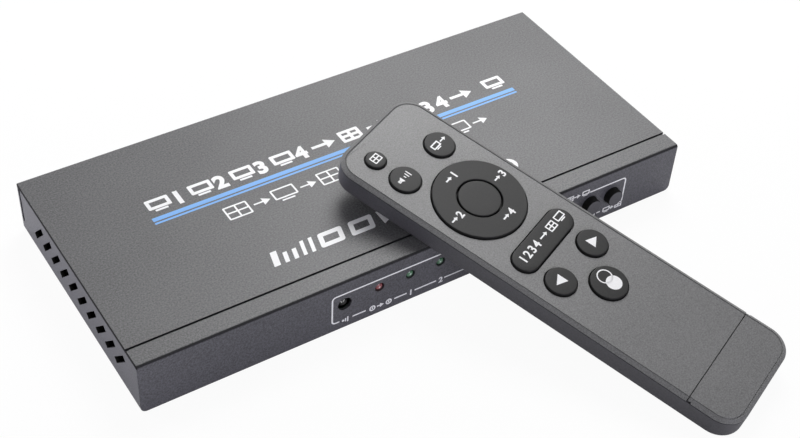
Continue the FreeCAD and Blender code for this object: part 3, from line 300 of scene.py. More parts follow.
coil_ferrite = grained("ferrite", shade(58), shade(82), 0.65, 2600.0, 0.00012)
white_ink = grained("white_ink", shade(244), shade(252), 0.5, 3000.0, 0.00001)
blue_ink = grained("blue_ink", shade(205, 0.33, 0.72, 1.35), shade(214, 0.33, 0.72, 1.35), 0.5, 3000.0,
                   0.00001)


def brushed(name, dark, light, rough, drawn_out):
    """Plated or drawn metal with fine lines along one axis."""
    finish = Finish(name, light, rough, Metallic=1.0)
    lines = finish.noise(1.0, detail=3.0, where=finish.stretched(drawn_out))
    smudge = finish.noise(140.0, detail=3.0)
    finish.use(Base_Color=finish.blend(lines * 0.7 + smudge * 0.3, dark, light),
               Roughness=rough - 0.1 + lines * 0.12 + smudge * 0.12,
               Normal=finish.bump(lines, 0.15, 0.00003))
    return finish


zinc = brushed("zinc_plate", shade(150), shade(205), 0.34, (900, 900, 900))
socket_metal = brushed("socket_nickel", shade(160), shade(212), 0.3, (2600, 120, 2600))
gold = brushed("contact_gold", shade(180, 1.1, 0.85, 0.35), shade(225, 1.1, 0.85, 0.35), 0.25,
               (400, 3000, 3000))
sink_aluminium = brushed("sink_aluminium", shade(130), shade(190), 0.38, (3000, 90, 3000))
can_metal = brushed("can_aluminium", shade(160), shade(210), 0.3, (2400, 2400, 100))
cell_steel = brushed("cell_steel", shade(150), shade(208), 0.28, (1600, 1600, 300))


def lacquered_board():
    """Green lacquer over copper tracks on a fibre board."""
    finish = Finish("board_lacquer", (0.01, 0.09, 0.03), 0.4, Coat_Weight=0.3)
    tracks = finish.add("ShaderNodeTexBrick", {"offset": 0.35},
                        {"Vector": finish.place(), "Scale": 160.0, "Mortar Size": 0.03,
                         "Color1": (0.0, 0.0, 0.0), "Color2": (0.25, 0.25, 0.25),
                         "Mortar": (1.0, 1.0, 1.0)})
    fibre = finish.noise(1700.0, detail=3.0)
    finish.use(Base_Color=finish.blend(tracks * 0.6 + fibre * 0.2, (0.008, 0.07, 0.022), (0.03, 0.2, 0.07)),
               Roughness=0.34 + fibre * 0.1,
               Normal=finish.bump(tracks, 0.2, 0.00004))
    return finish


board_lacquer = lacquered_board()


def tinted_resin(name, rim, body, painted_glint, first, pitch, height):
    """A lamp's resin, with painted light: a pale painted highlight at the middle of its dome, painted shade
    towards the rim, and a faint painted glow.
    """
    # The emission is a painted glow: the lamps are not lit.
    finish = Finish(name, body, 0.18, Coat_Weight=0.6, Coat_Roughness=0.08, Emission_Color=body,
                    Emission_Strength=0.15)
    place = finish.place()
    sideways = finish.part(place, "X") - first * MM
    if pitch:
        step = pitch * MM
        shifted = sideways / step + 0.5
        sideways = (shifted.maths("FLOORED_MODULO", shifted, 1.0) - 0.5) * step
    upwards = finish.part(place, "Z") - height * MM
    square = sideways * sideways + upwards * upwards
    away = square.maths("SQRT", square)
    streaks = finish.noise(1500.0)
    # Painted highlight at the middle of each dome, and painted shade towards its rim.
    inner = finish.ramp(away / MM + streaks * 0.3, (0.25, 1.0), (0.62, 0.0))
    outer = finish.ramp(away / (1.6 * MM), (0.45, 0.0), (0.95, 1.0))
    finish.use(Base_Color=finish.blend(inner, finish.blend(outer, body, rim), painted_glint))
    return finish


LAMP_HEIGHT = 11.35
POWER_LAMP = -19.1
FIRST_LAMP, LAMP_PITCH = -7.8, 11.35
lamp_red = tinted_resin("lamp_red_resin", shade(44, 1.6, 0.5, 0.6), shade(104, 1.6, 0.25, 0.32),
                        shade(225, 1.1, 0.9, 0.9), POWER_LAMP, 0, LAMP_HEIGHT)
lamp_green = tinted_resin("lamp_green_resin", shade(38, 0.6, 1.3, 0.8), shade(94, 0.35, 1.25, 0.6),
                          shade(220, 0.9, 1.05, 0.95), FIRST_LAMP, LAMP_PITCH, LAMP_HEIGHT)
emitter_resin = Finish("emitter_resin", (0.012, 0.006, 0.02), 0.15, Coat_Weight=0.5)
haze = emitter_resin.noise(900.0)
emitter_resin.use(Base_Color=emitter_resin.blend(haze, (0.008, 0.004, 0.014), (0.03, 0.014, 0.05)))

FINISH_OF_SLOT = {
    "case_paint": case_paint, "zinc": zinc, "board_lacquer": board_lacquer,
    "socket_metal": socket_metal, "black_plastic": black_plastic, "button_plastic": button_plastic,
    "white_plastic": white_plastic, "gold": gold, "chip_resin": chip_resin,
    "pad_silicone": pad_silicone, "sink_aluminium": sink_aluminium, "coil_ferrite": coil_ferrite,
    "can_metal": can_metal, "lamp_red": lamp_red, "lamp_green": lamp_green,
    "remote_paint": remote_paint, "remote_plastic": remote_plastic, "key_rubber": key_rubber,
    "mat_rubber": mat_rubber, "emitter_resin": emitter_resin, "cell_steel": cell_steel,
}


def coat(piece, finish):
    """Gives a piece one finish all over, without changing a CAD node's mesh."""
    if not piece.material_slots:
        piece.data.materials.append(finish.material)
    for slot in piece.material_slots:
        slot.link = "OBJECT"
        slot.material = finish.material


NODES_OF_FINISH = {
    "case_paint": "base_tray front_panel rear_panel top_cover",
    "zinc": "spacers board_screws cover_screws cover_nuts cell_contacts",
    "board_lacquer": "main_board remote_card",
    "socket_metal": "video_input_1_shell video_input_2_shell video_input_3_shell video_input_4_shell "
                    "video_output_shell power_jack_pin crystal",
    "black_plastic": "video_cores power_jack lamp_holders infrared_receiver push_switches",
    "white_plastic": "button_left_plunger button_right_plunger",
    "chip_resin": "video_processor port_chips memory_chips remote_chip",
    "pad_silicone": "thermal_pad", "sink_aluminium": "heat_sink", "coil_ferrite": "power_inductors",
    "can_metal": "capacitors", "remote_paint": "remote_face remote_end_cap",
    "remote_plastic": "remote_back", "mat_rubber": "remote_mat", "emitter_resin": "remote_emitter",
    "cell_steel": "coin_cell",
}
for slot_name, names in NODES_OF_FINISH.items():
    for name in names.split():
        coat(nodes[name], FINISH_OF_SLOT[slot_name])


# Hand modelling

def only(piece):
    """Selects one piece alone and makes it the active one."""
    bpy.ops.object.select_all(action="DESELECT")
    piece.select_set(True)
    bpy.context.view_layer.objects.active = piece


def pick(piece, kind, test):
    """Opens a piece for editing with the faces, edges or points selected that pass the test."""
    only(piece)
    bpy.ops.object.mode_set(mode="EDIT")
    bpy.ops.mesh.select_mode(type=kind)
    bpy.ops.mesh.select_all(action="DESELECT")
    bpy.ops.object.mode_set(mode="OBJECT")
    mesh = piece.data
    if kind == "FACE":
        for face in mesh.polygons:
            face.select = test(face.center, face.normal)
    elif kind == "EDGE":
        for edge in mesh.edges:
            first, last = (mesh.vertices[index].co for index in edge.vertices)
            edge.select = test((first + last) / 2, last - first)
    else:
        for point in mesh.vertices:
            point.select = test(point.co)
    bpy.ops.object.mode_set(mode="EDIT")


def close():
    """Ends an editing step."""
    bpy.ops.object.mode_set(mode="OBJECT")


def every(*anything):
    """Picks all."""
    return True


def settle(piece):
    """Takes a piece's place, turn and size into its mesh."""
    only(piece)
    bpy.ops.object.transform_apply(location=True, rotation=True, scale=True)


def raise_by(height):
    """Lifts the selected faces, with walls below them."""
    bpy.ops.mesh.extrude_region_move(TRANSFORM_OT_translate={"value": (0, 0, height)})


def inset(width, height=0.0):
    """Sets the selected faces in by a width, and up by a height."""
    bpy.ops.mesh.inset(thickness=width, depth=height)


def lay_at(piece, level):
    """Opens a flat shape for editing, all of it selected and moved to a height."""
    pick(piece, "FACE", every)
    bpy.ops.transform.translate(value=(0, 0, level))


def slab(piece, low, thick):
    """Gives a flat shape a foot height and a thickness."""
    lay_at(piece, low)
    raise_by(thick)
    close()
    return piece


def tile(x, y, wide, high, corner=0.0, lean=0.0, turn=0.0, steps=4, rounded=every):
    """A flat rounded rectangle, its top pushed sideways by lean."""
    bpy.ops.mesh.primitive_plane_add(size=1)
    piece = bpy.context.object
    piece.scale = (wide, high, 1)
    settle(piece)
    if lean:
        pick(piece, "VERT", lambda point: point.y > 0)
        bpy.ops.transform.translate(value=(lean, 0, 0))
        close()
    if corner:
        pick(piece, "VERT", rounded)
        bpy.ops.mesh.bevel(offset=corner, segments=steps, affect="VERTICES")
        close()
    piece.location = (x, y, 0)
    piece.rotation_euler = (0, 0, math.radians(turn))
    settle(piece)
    return piece


def hollow(piece, line):
    """Leaves only a line of a flat shape, inside its edge."""
    pick(piece, "FACE", every)
    inset(line)
    bpy.ops.mesh.delete(type="FACE")
    close()
    return piece


def joined(shapes):
    """Makes one piece of several."""
    bpy.ops.object.select_all(action="DESELECT")
    for shape in shapes:
        shape.select_set(True)
    bpy.context.view_layer.objects.active = shapes[0]
    if len(shapes) > 1:
        bpy.ops.object.join()
    return shapes[0]


def frame_line(x, y, wide, high, line, corner=0.0, lean=0.0):
    """A frame of four bars that meet edge to edge, rounded outside."""
    slope = lean / high
    foot = y - high / 2
    bars = [tile(x, foot + line / 2, wide, line, corner, slope * line, rounded=lambda point: point.y < 0),
            tile(x + slope * (high - line), foot + high - line / 2, wide, line, corner, slope * line,
                 rounded=lambda point: point.y > 0)]
    for side in (-1, 1):
        bars.append(tile(x + slope * line + side * (wide - line) / 2, y, line, high - 2 * line, 0,
                         slope * (high - 2 * line)))
    return joined(bars)


def disc(x, y, radius, points=48):
    """A flat round shape."""
    bpy.ops.mesh.primitive_circle_add(vertices=points, radius=radius, fill_type="NGON", location=(x, y, 0))
    piece = bpy.context.object
    settle(piece)
    return piece


def ring(x, y, radius, line):
    """A flat round line."""
    return hollow(disc(x, y, radius), line)


def wedge(x, y, wide, high, turn=0.0, corner=0.12):
    """A triangle that points along +X before it is turned."""
    piece = disc(0, 0, 1, points=3)
    piece.rotation_euler = (0, 0, math.radians(-90))
    settle(piece)
    piece.scale = (wide / 1.5, high / math.sqrt(3), 1)
    settle(piece)
    pick(piece, "VERT", every)
    bpy.ops.mesh.bevel(offset=corner, segments=3, affect="VERTICES")
    close()
    piece.location = (x, y, 0)
    piece.rotation_euler = (0, 0, math.radians(turn))
    settle(piece)
    return piece


def line_between(start, end, line):
    """A straight flat line between two points."""
    run = Vector(end) - Vector(start)
    middle = (Vector(start) + Vector(end)) / 2
    return tile(middle.x, middle.y, run.length, line, turn=math.degrees(math.atan2(run.y, run.x)))


FIGURE_SHARE = 0.72


def numeral(number, x, y, high, weight=0.0):
    """A plain figure whose middle is at x, y; FIGURE_SHARE is a figure's height at size 1."""
    bpy.ops.object.text_add()
    piece = bpy.context.object
    piece.data.body = str(number)
    piece.data.align_x = "CENTER"
    piece.data.size = high / FIGURE_SHARE
    piece.data.offset = weight
    only(piece)
    bpy.ops.object.convert(target="MESH")
    piece = bpy.context.object
    piece.location = (x, y - high / 2, 0)
    settle(piece)
    return piece


def shells(mesh):
    """The shell that each face belongs to, and each shell's volume, negative where it looks inwards."""
    parent = list(range(len(mesh.vertices)))

    def root(index):
        while parent[index] != index:
            parent[index] = parent[parent[index]]
            index = parent[index]
        return index

    for edge in mesh.edges:
        first, last = edge.vertices
        parent[root(first)] = root(last)
    shell_of = [root(face.vertices[0]) for face in mesh.polygons]
    volumes = dict.fromkeys(shell_of, 0.0)
    for face, shell in zip(mesh.polygons, shell_of):
        volumes[shell] += face.center.dot(face.normal) * face.area / 3
    return shell_of, volumes


DOUBLED = 0.0005
INWARDS = -1e-6


def tidy(piece):
    """Merges doubled points and turns every shell outwards."""
    pick(piece, "VERT", every)
    bpy.ops.mesh.remove_doubles(threshold=DOUBLED)
    bpy.ops.mesh.normals_make_consistent(inside=False)
    bpy.ops.mesh.select_mode(type="FACE")
    close()
    shell_of, volumes = shells(piece.data)
    for face, shell in zip(piece.data.polygons, shell_of):
        face.select = volumes[shell] < INWARDS
    bpy.ops.object.mode_set(mode="EDIT")
    bpy.ops.mesh.flip_normals()
    close()


def apply(piece, kind, **settings):
    """Adds a modifier and takes its result into the mesh."""
    only(piece)
    step = piece.modifiers.new("step", kind)
    for name, value in settings.items():
        setattr(step, name, value)
    bpy.ops.object.modifier_apply(modifier=step.name)


def set_down(piece, name, face, body, finish, node=None, smooth=32.0):
    """Names a finished piece, lays it on its face, lets it ride on its body and replaces its node."""
    piece.name = name
    piece.data.name = name
    piece.matrix_world = face
    settle(piece)
    bpy.ops.object.shade_smooth_by_angle(angle=math.radians(smooth))
    apply(piece, "WEIGHTED_NORMAL", keep_sharp=True, weight=100)
    piece.data.materials.clear()
    coat(piece, finish)
    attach(piece, body)
    if node:
        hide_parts(node)


INK = 0.03


def printed(name, shapes, face, body, finish, lift=0.0):
    """A sign of flat shapes, with the thickness of screen-printed ink."""
    piece = joined(shapes)
    tidy(piece)
    slab(piece, lift, INK)
    tidy(piece)
    set_down(piece, name, face, body, finish)


LEVEL_FIT = 0.002


def soften_rim(piece, level, width, steps=3, near=None):
    """Rounds the edges that lie level at one height."""
    pick(piece, "EDGE", lambda middle, run: abs(middle.z - level) < LEVEL_FIT and abs(run.z) < LEVEL_FIT
         and (near is None or near(middle)))
    bpy.ops.mesh.bevel(offset=width, segments=steps, affect="EDGES")
    close()


def cut_out(piece, cutters):
    """Takes the space of the cutters away from a piece."""
    tool = joined(cutters)
    tidy(tool)
    apply(piece, "BOOLEAN", operation="DIFFERENCE", solver="EXACT", object=tool)
    bpy.data.objects.remove(tool)


def punch(x, y, radius, reach, points=96):
    """A round cutter that reaches as far below the face as above it."""
    return slab(disc(x, y, radius, points), -reach, 2 * reach)


def collared(piece, back, collar_thick, collar_wide, front):
    """Raises a flat outline from its back: a collar, then a narrower body up to its front."""
    lay_at(piece, back)
    raise_by(collar_thick)
    inset(collar_wide)
    raise_by(front - back - collar_thick)
    close()
    tidy(piece)
    return piece


# The remote's face and its sliding end cap

SMALL, MIDDLE, LARGE = 3.35, 5.05, 6.1
COLUMN = 9.6
# Each round key's name, place and radius
KEYS = [
    ("screen", -COLUMN, 63.6, SMALL),
    ("sound", -COLUMN, 52.0, MIDDLE),
    ("mode", COLUMN, 52.0, MIDDLE),
    ("left", -COLUMN, -6.2, MIDDLE),
    ("right", COLUMN, -6.2, MIDDLE),
    ("definition", 0.0, -17.9, LARGE),
]
RING_Y, RING_OUT, RING_BORE, CENTRE = 30.1, 15.25, 7.45, 6.95
PLATE_Y, PLATE_LONG, PLATE_HIGH, PLATE_FOOT = 6.3, 29.1, 8.9, 2.7
BEVEL_IN, BEVEL_DOWN = 1.2, 0.7
GROOVE = 0.26
PARTING, PARTING_IN = 0.3, 0.6
RIM_SOFT, HOLE_SOFT, HOLE_CLEAR = 0.05, 0.12, 0.3
THROUGH = 4
ROUND_SPARE = 0.02
SILL_SHORT, SILL_LAP, SILL_THICK = 2.4, 0.05, 0.3
NOTCH_WIDE, NOTCH_LONG, NOTCH_DOWN, NOTCH_CORNER = 1.0, 1.6, 0.4, 0.2
RAIL_X, RAIL_WIDE, RAIL_CORNER = 12, 2.2, 0.4
RAIL_DOWN, RAIL_THICK = 0.65, 0.75


def face_blank():
    """The whole face before it is split: side, bevel, fine groove and flat top.

    RIM_SOFT stays below the height that the bevel and the parting gap leave to the side.
    """
    piece = tile(0, 0, FACE_WIDE, FACE_LONG, FACE_CORNER, steps=14)
    lay_at(piece, PARTING - FACE_THICK)
    raise_by(FACE_THICK - PARTING - BEVEL_DOWN)
    inset(BEVEL_IN, BEVEL_DOWN)
    inset(GROOVE, -GROOVE)
    inset(GROOVE, GROOVE)
    close()
    tidy(piece)
    pick(piece, "FACE", lambda centre, normal: normal.z < -0.9)
    inset(PARTING_IN)
    raise_by(-PARTING)
    close()
    soften_rim(piece, -BEVEL_DOWN, RIM_SOFT)
    return piece


def split_off(blank, seam, keep_above):
    """A copy of the blank, cut straight across at the seam."""
    only(blank)
    bpy.ops.object.duplicate()
    piece = bpy.context.object
    pick(piece, "FACE", every)
    bpy.ops.mesh.bisect(plane_co=(0, seam, 0), plane_no=(0, 1, 0), use_fill=True,
                        clear_inner=keep_above, clear_outer=not keep_above)
    close()
    tidy(piece)
    return piece


def plate_outline(gap=0.0):
    """The sign plate's pill shape, or its hole, with a gap all round."""
    high = PLATE_HIGH + 2 * gap
    return tile(0, PLATE_Y, PLATE_LONG + 2 * gap, high, high / 2 - ROUND_SPARE, steps=24)


blank = face_blank()
front = split_off(blank, SEAM_TOP, True)
holes = [punch(x, y, radius + KEY_GAP, THROUGH) for label, x, y, radius in KEYS]
holes.append(punch(0, RING_Y, RING_OUT + KEY_GAP, THROUGH, points=160))
holes.append(slab(plate_outline(KEY_GAP), -THROUGH, 2 * THROUGH))
cut_out(front, holes)
margin = BEVEL_IN + 2 * GROOVE + HOLE_CLEAR
soften_rim(front, 0, HOLE_SOFT, 2,
           near=lambda middle: abs(middle.x) < FACE_WIDE / 2 - margin
           and SEAM_TOP + 1 < middle.y < FACE_LONG / 2 - margin)
sill = tile(0, (SEAM_TOP + SEAM_BOTTOM) / 2 + SILL_LAP, FACE_WIDE - SILL_SHORT, SEAM_TOP - SEAM_BOTTOM)
slab(sill, SILL_LAP - FACE_THICK, SILL_THICK)
tidy(sill)
front = joined([front, sill])
set_down(front, "remote_front", ON_REMOTE, "remote", remote_paint, "remote_face")

cap = split_off(blank, SEAM_BOTTOM, False)
bpy.data.objects.remove(blank)
notch_y = SEAM_BOTTOM - NOTCH_DOWN
cut_out(cap, [slab(tile(side * FACE_WIDE / 2, notch_y, NOTCH_WIDE, NOTCH_LONG, NOTCH_CORNER),
                   -THROUGH, 2 * THROUGH) for side in (-1, 1)])
rail_end = -FACE_LONG / 2 + 2 * BEVEL_IN
rail_y, rail_long = (rail_end + SEAM_BOTTOM) / 2, SEAM_BOTTOM - rail_end
cap = joined([cap] + [slab(tile(side * RAIL_X, rail_y, RAIL_WIDE, rail_long, RAIL_CORNER),
                           -FACE_THICK - RAIL_DOWN, RAIL_THICK) for side in (-1, 1)])
tidy(cap)
set_down(cap, "remote_sliding_cap", ON_REMOTE, "end_cap", remote_paint, "remote_end_cap")


# Keys

COLLAR_PLAY, COLLAR_THICK, COLLAR_WIDE = 0.1, 0.6, 0.8
KEY_FOOT = -FACE_THICK - COLLAR_PLAY - COLLAR_THICK
KEY_SOFT = 0.3
KEY_THROUGH = 6
TOP_FIT, BORE_FIT = 0.01, 0.05
CROWN_SHARE, CROWN_HIGH = 0.4, 0.05
PLATE_CROWN_IN, PLATE_CROWN_HIGH = 1.6, 0.04


def round_key(x, y, radius, points=96):
    """A round key with its collar under the face, a stem and a soft rim."""
    piece = disc(x, y, radius + KEY_GAP + COLLAR_WIDE, points)
    collared(piece, KEY_FOOT, COLLAR_THICK, KEY_GAP + COLLAR_WIDE, KEY_PROUD)
    soften_rim(piece, KEY_PROUD, KEY_SOFT, 4)
    return piece


def crown(piece, width, height=CROWN_HIGH):
    """Raises the top inside its rim."""
    pick(piece, "FACE", lambda centre, normal: normal.z > 0.99 and centre.z > KEY_PROUD - TOP_FIT)
    inset(width, height)
    close()


def set_key(piece, name, body, node):
    """Lays a finished key or plate on the remote."""
    set_down(piece, name, ON_REMOTE, body, key_rubber, node, smooth=40)


for label, x, y, radius in KEYS:
    key = round_key(x, y, radius)
    crown(key, radius * CROWN_SHARE)
    set_key(key, label + "_key_cap", label + "_key", "key_" + label)

band = round_key(0, RING_Y, RING_OUT, points=160)
cut_out(band, [punch(0, RING_Y, RING_BORE, KEY_THROUGH, points=128)])
soften_rim(band, KEY_PROUD, KEY_SOFT, 4,
           near=lambda middle: (middle.xy - Vector((0, RING_Y))).length < RING_BORE + BORE_FIT)
set_key(band, "ring_key_band", "ring_key", "key_ring")

centre = round_key(0, RING_Y, CENTRE, points=128)
crown(centre, CENTRE * CROWN_SHARE)
set_key(centre, "centre_key_cap", "centre_key", "key_centre")

plate = slab(plate_outline(), -PLATE_FOOT, PLATE_FOOT + KEY_PROUD)
tidy(plate)
soften_rim(plate, KEY_PROUD, KEY_SOFT, 4)
crown(plate, PLATE_CROWN_IN, PLATE_CROWN_HIGH)
set_key(plate, "remote_sign_plate", "remote", "remote_name_plate")


# Small printed signs, drawn from the left edge x and the foot y

INPUT_NUMBERS = (1, 2, 3, 4)
PICTURE_SHAPE = 1.35
# Shares of a sign's height
CORNER_SHARE = 0.08
GLASS_HIGH, FOOT_THICK = 0.8, 0.14
TIP_LONG, TIP_HIGH = 0.62, 0.8
DOT_MIDDLE, DOT_RADIUS = 0.22, 0.2
FRONTS = [(0.6, 0.62), (0.95, 0.97)]
STROKE_MIDDLE, STROKE_LONG = 0.62, 0.6
# Shares of a screen's width, a foot's thickness, an arrow tip's length and a line's width
FOOT_WIDE, FOOT_CORNER = 0.55, 0.2
TIP_BARE, TIP_MIDDLE = 0.88, 0.55
FRONT_CORNER = 0.3


def screen_sign(x, y, high, line):
    """A screen on its foot."""
    wide = high * PICTURE_SHAPE
    middle = x + wide / 2
    glass = high * GLASS_HIGH
    foot = min(line, high * FOOT_THICK)
    return [frame_line(middle, y + high - glass / 2, wide, glass, line, high * CORNER_SHARE),
            tile(middle, y + foot / 2, wide * FOOT_WIDE, foot, foot * FOOT_CORNER)]


def pane_sign(x, y, high, line, wide=None):
    """One picture shared by four."""
    wide = wide or high * PICTURE_SHAPE
    middle, level = x + wide / 2, y + high / 2
    arm = wide / 2 - 1.5 * line
    return [frame_line(middle, level, wide, high, line, high * CORNER_SHARE),
            tile(middle, level, line, high - 2 * line)] + [
                tile(middle + side * (line + arm) / 2, level, arm, line) for side in (-1, 1)]


def arrow_sign(x, y, high, line, wide):
    """An arrow that points to the right."""
    tip = high * TIP_LONG
    shaft = wide - tip * TIP_BARE
    return [tile(x + shaft / 2, y + high / 2, shaft, line),
            wedge(x + wide - tip * TIP_MIDDLE, y + high / 2, tip, high * TIP_HIGH)]


def wave_sign(x, y, high, line):
    """A dot that sends two fronts."""
    shapes = [disc(x + high * DOT_MIDDLE, y + high / 2, high * DOT_RADIUS, 24)]
    for place, reach in FRONTS:
        shapes.append(tile(x + high * place, y + high / 2, line, high * reach, line * FRONT_CORNER))
    return shapes


def power_sign(x, y, high, line):
    """The upright stroke in a ring that marks power."""
    return [ring(x + high / 2, y + high / 2, high / 2, line),
            tile(x + high / 2, y + high * STROKE_MIDDLE - line / 2, line, high * STROKE_LONG - line)]


# The top cover's signs and its double blue line

STRIPE_LEFT, STRIPE_RIGHT = -70.0, 69.0
stripe_middle = (STRIPE_LEFT + STRIPE_RIGHT) / 2
stripe_length = STRIPE_RIGHT - STRIPE_LEFT
STRIPES = [(7.95, 1.7), (6.1, 0.8)]
INK_CORNER = 0.1
printed("cover_blue_lines",
        [tile(stripe_middle, y, stripe_length, line, INK_CORNER) for y, line in STRIPES],
        ON_TOP, "case", blue_ink)

BOLD_FOOT, BOLD_HIGH, BOLD_LINE, BOLD_WEIGHT = 11.2, 5.9, 1.25, 0.4
BOLD_LEFT, BOLD_RIGHT, BOLD_PITCH = -69.0, 68.5, 14.9
BOLD_FIGURE, BOLD_FIGURE_PITCH = 10.7, 5.7
BOLD_ARROW_WIDE, BOLD_ARROW_NEARER = 8.5, 1.8


def bold_figure(number, x):
    """A figure in the bold row."""
    return numeral(number, x, BOLD_FOOT + BOLD_HIGH / 2, BOLD_HIGH, BOLD_WEIGHT)


def bold_sign(sign, x, *wide):
    """A sign in the bold row."""
    return sign(x, BOLD_FOOT, BOLD_HIGH, BOLD_LINE, *wide)


signs = []
left = BOLD_LEFT
for number in INPUT_NUMBERS:
    signs += bold_sign(screen_sign, left)
    signs.append(bold_figure(number, left + BOLD_FIGURE))
    left += BOLD_PITCH
for sign, step, *wide in ((arrow_sign, 11.0, BOLD_ARROW_WIDE), (pane_sign, 10.5),
                          (arrow_sign, 13.0, BOLD_ARROW_WIDE)):
    signs += bold_sign(sign, left, *wide)
    left += step
for number in INPUT_NUMBERS:
    signs.append(bold_figure(number, left))
    left += BOLD_FIGURE_PITCH
signs += bold_sign(arrow_sign, left - BOLD_ARROW_NEARER, BOLD_ARROW_WIDE)
signs += bold_sign(screen_sign, BOLD_RIGHT - BOLD_HIGH * PICTURE_SHAPE)
printed("cover_bold_signs", signs, ON_TOP, "case", white_ink)

FINE_FOOT, FINE_HIGH, FINE_LINE = -4.0, 6.2, 0.62
FINE_LEFT, FINE_PITCH, FINE_COUNT = -49.0, 16.9, 6
FINE_ARROW, FINE_ARROW_UP, FINE_ARROW_HIGH, FINE_ARROW_WIDE = 9.8, 0.8, 4.34, 5.6
signs = []
for step in range(FINE_COUNT):
    left = FINE_LEFT + FINE_PITCH * step
    signs += (screen_sign if step % 2 else pane_sign)(left, FINE_FOOT, FINE_HIGH, FINE_LINE)
    signs += arrow_sign(left + FINE_ARROW, FINE_FOOT + FINE_ARROW_UP, FINE_ARROW_HIGH, FINE_LINE,
                        FINE_ARROW_WIDE)
printed("cover_fine_signs", signs, ON_TOP, "case", white_ink)

LOW_FOOT, LOW_HIGH, LOW_LINE, LOW_SLOPE = -29.0, 6.2, 1.7, 0.25
LOW_MIDDLE = LOW_FOOT + LOW_HIGH / 2
LOW_LEFT = -47.0
BARS, BAR_GAP = [(2.2, 6.2), (1.5, 4.4), (1.5, 4.4), (1.3, 6.2), (1.3, 6.2)], 1.7
PICTURES, PICTURE_MIDDLE, PICTURE_WIDTH, PICTURE_PITCH = 2, 4.6, 8.6, 11.0
WEDGES, WEDGE_MIDDLE, WEDGE_WIDTH, WEDGE_PITCH = 6, 3.2, 6.0, 8.0
BAR_CORNER, PICTURE_CORNER, WEDGE_CORNER = 0.15, 0.9, 0.3
# The ring at the row's end: its place, radius and line
END_RING = (43.3, LOW_MIDDLE + 0.8, 3.1, 1.45)
signs = []
left = LOW_LEFT
for wide, high in BARS:
    signs.append(tile(left + wide / 2, LOW_FOOT + high / 2, wide, high, BAR_CORNER, high * LOW_SLOPE))
    left += wide + BAR_GAP
for step in range(PICTURES):
    signs.append(frame_line(left + PICTURE_MIDDLE, LOW_MIDDLE, PICTURE_WIDTH, LOW_HIGH, LOW_LINE,
                            PICTURE_CORNER, LOW_HIGH * LOW_SLOPE))
    left += PICTURE_PITCH
for step in range(WEDGES):
    signs.append(wedge(left + WEDGE_MIDDLE, LOW_MIDDLE, WEDGE_WIDTH, LOW_HIGH, corner=WEDGE_CORNER))
    left += WEDGE_PITCH
signs.append(ring(*END_RING))
printed("cover_low_signs", signs, ON_TOP, "case", white_ink)


# The rolled edge of the front panel's top strip, in the seam before the cover

LIP_FRONT, LIP_BACK, LIP_LONG = -38.1, -37.65, 198
LIP_LOW, LIP_HIGH, LIP_SOFT = 18.9, 19.9, 0.15
lip = tile(0, (LIP_FRONT + LIP_BACK) / 2, LIP_LONG, LIP_BACK - LIP_FRONT)
slab(lip, LIP_LOW, LIP_HIGH - LIP_LOW)
tidy(lip)
soften_rim(lip, LIP_HIGH, LIP_SOFT, 3, near=lambda middle: middle.y > LIP_BACK - 0.1)
set_down(lip, "front_strip_edge", SOLID, "case", case_paint)


# The front panel's frame line and small signs

FRAME_LEFT, FRAME_RIGHT = -36.3, 78.4
FRAME_LOW, FRAME_HIGH = 3.2, 15.1
FRAME_LINE, FRAME_CORNER = 0.55, 1.5
outline = hollow(tile((FRAME_LEFT + FRAME_RIGHT) / 2, (FRAME_LOW + FRAME_HIGH) / 2,
                      FRAME_RIGHT - FRAME_LEFT, FRAME_HIGH - FRAME_LOW, FRAME_CORNER, steps=6), FRAME_LINE)
GAPS_LOW = [(-33.4, -28.7), (-23.9, -13.4), (-8.8, -5.8), (2.4, 5.5), (13.8, 16.9), (25.2, 28.3),
            (60.5, 67.4), (68.9, 78.0)]
GAPS_HIGH = [(51.9, 62.8)]


def gap_edges(piece, places, low, high):
    """Opens a printed line between pairs of places."""
    for start, end in places:
        for place in (start, end):
            pick(piece, "FACE", lambda centre, normal: low < centre.y < high)
            bpy.ops.mesh.bisect(plane_co=(place, 0, 0), plane_no=(1, 0, 0))
            close()
        pick(piece, "FACE", lambda centre, normal: low < centre.y < high and start < centre.x < end)
        bpy.ops.mesh.delete(type="FACE")
        close()


gap_edges(outline, GAPS_LOW, FRAME_LOW - 1, FRAME_LOW + 1)
gap_edges(outline, GAPS_HIGH, FRAME_HIGH - 1, FRAME_HIGH + 1)
SIGN_HIGH, SIGN_LINE, SIGN_WEIGHT = 2.3, 0.5, 0.11
SIGN_FOOT, UPPER_SIGN_FOOT = 2.1, 14.1
FIGURE_ASIDE = 0.6
FRONT_SIGNS = [
    (wave_sign, -32.6), (power_sign, -22.6), (arrow_sign, -19.8, 2.4), (power_sign, -16.6),
    (screen_sign, 63.6), (screen_sign, 70.0), (arrow_sign, 73.0, 1.8), (pane_sign, 75.2),
]
UPPER_SIGNS = [(pane_sign, 52.8), (arrow_sign, 56.0, 2.6), (screen_sign, 59.4)]
signs = [outline]
for foot, row in ((SIGN_FOOT, FRONT_SIGNS), (UPPER_SIGN_FOOT, UPPER_SIGNS)):
    for sign, x, *wide in row:
        signs += sign(x, foot, SIGN_HIGH, SIGN_LINE, *wide)
for index, number in enumerate(INPUT_NUMBERS):
    signs.append(numeral(number, FIRST_LAMP + LAMP_PITCH * index + FIGURE_ASIDE, FRAME_LOW, SIGN_HIGH,
                         SIGN_WEIGHT))
printed("front_signs", signs, ON_FRONT, "case", white_ink)


# Lamps, buttons and the receiver's clip

LAMP_RADIUS, LAMP_RECESS, LAMP_BACK, LAMP_TIP = 1.5, 0.06, -4.8, 0.35
LAMP_COLLAR_WIDE, LAMP_COLLAR_THICK = 0.4, 1.0


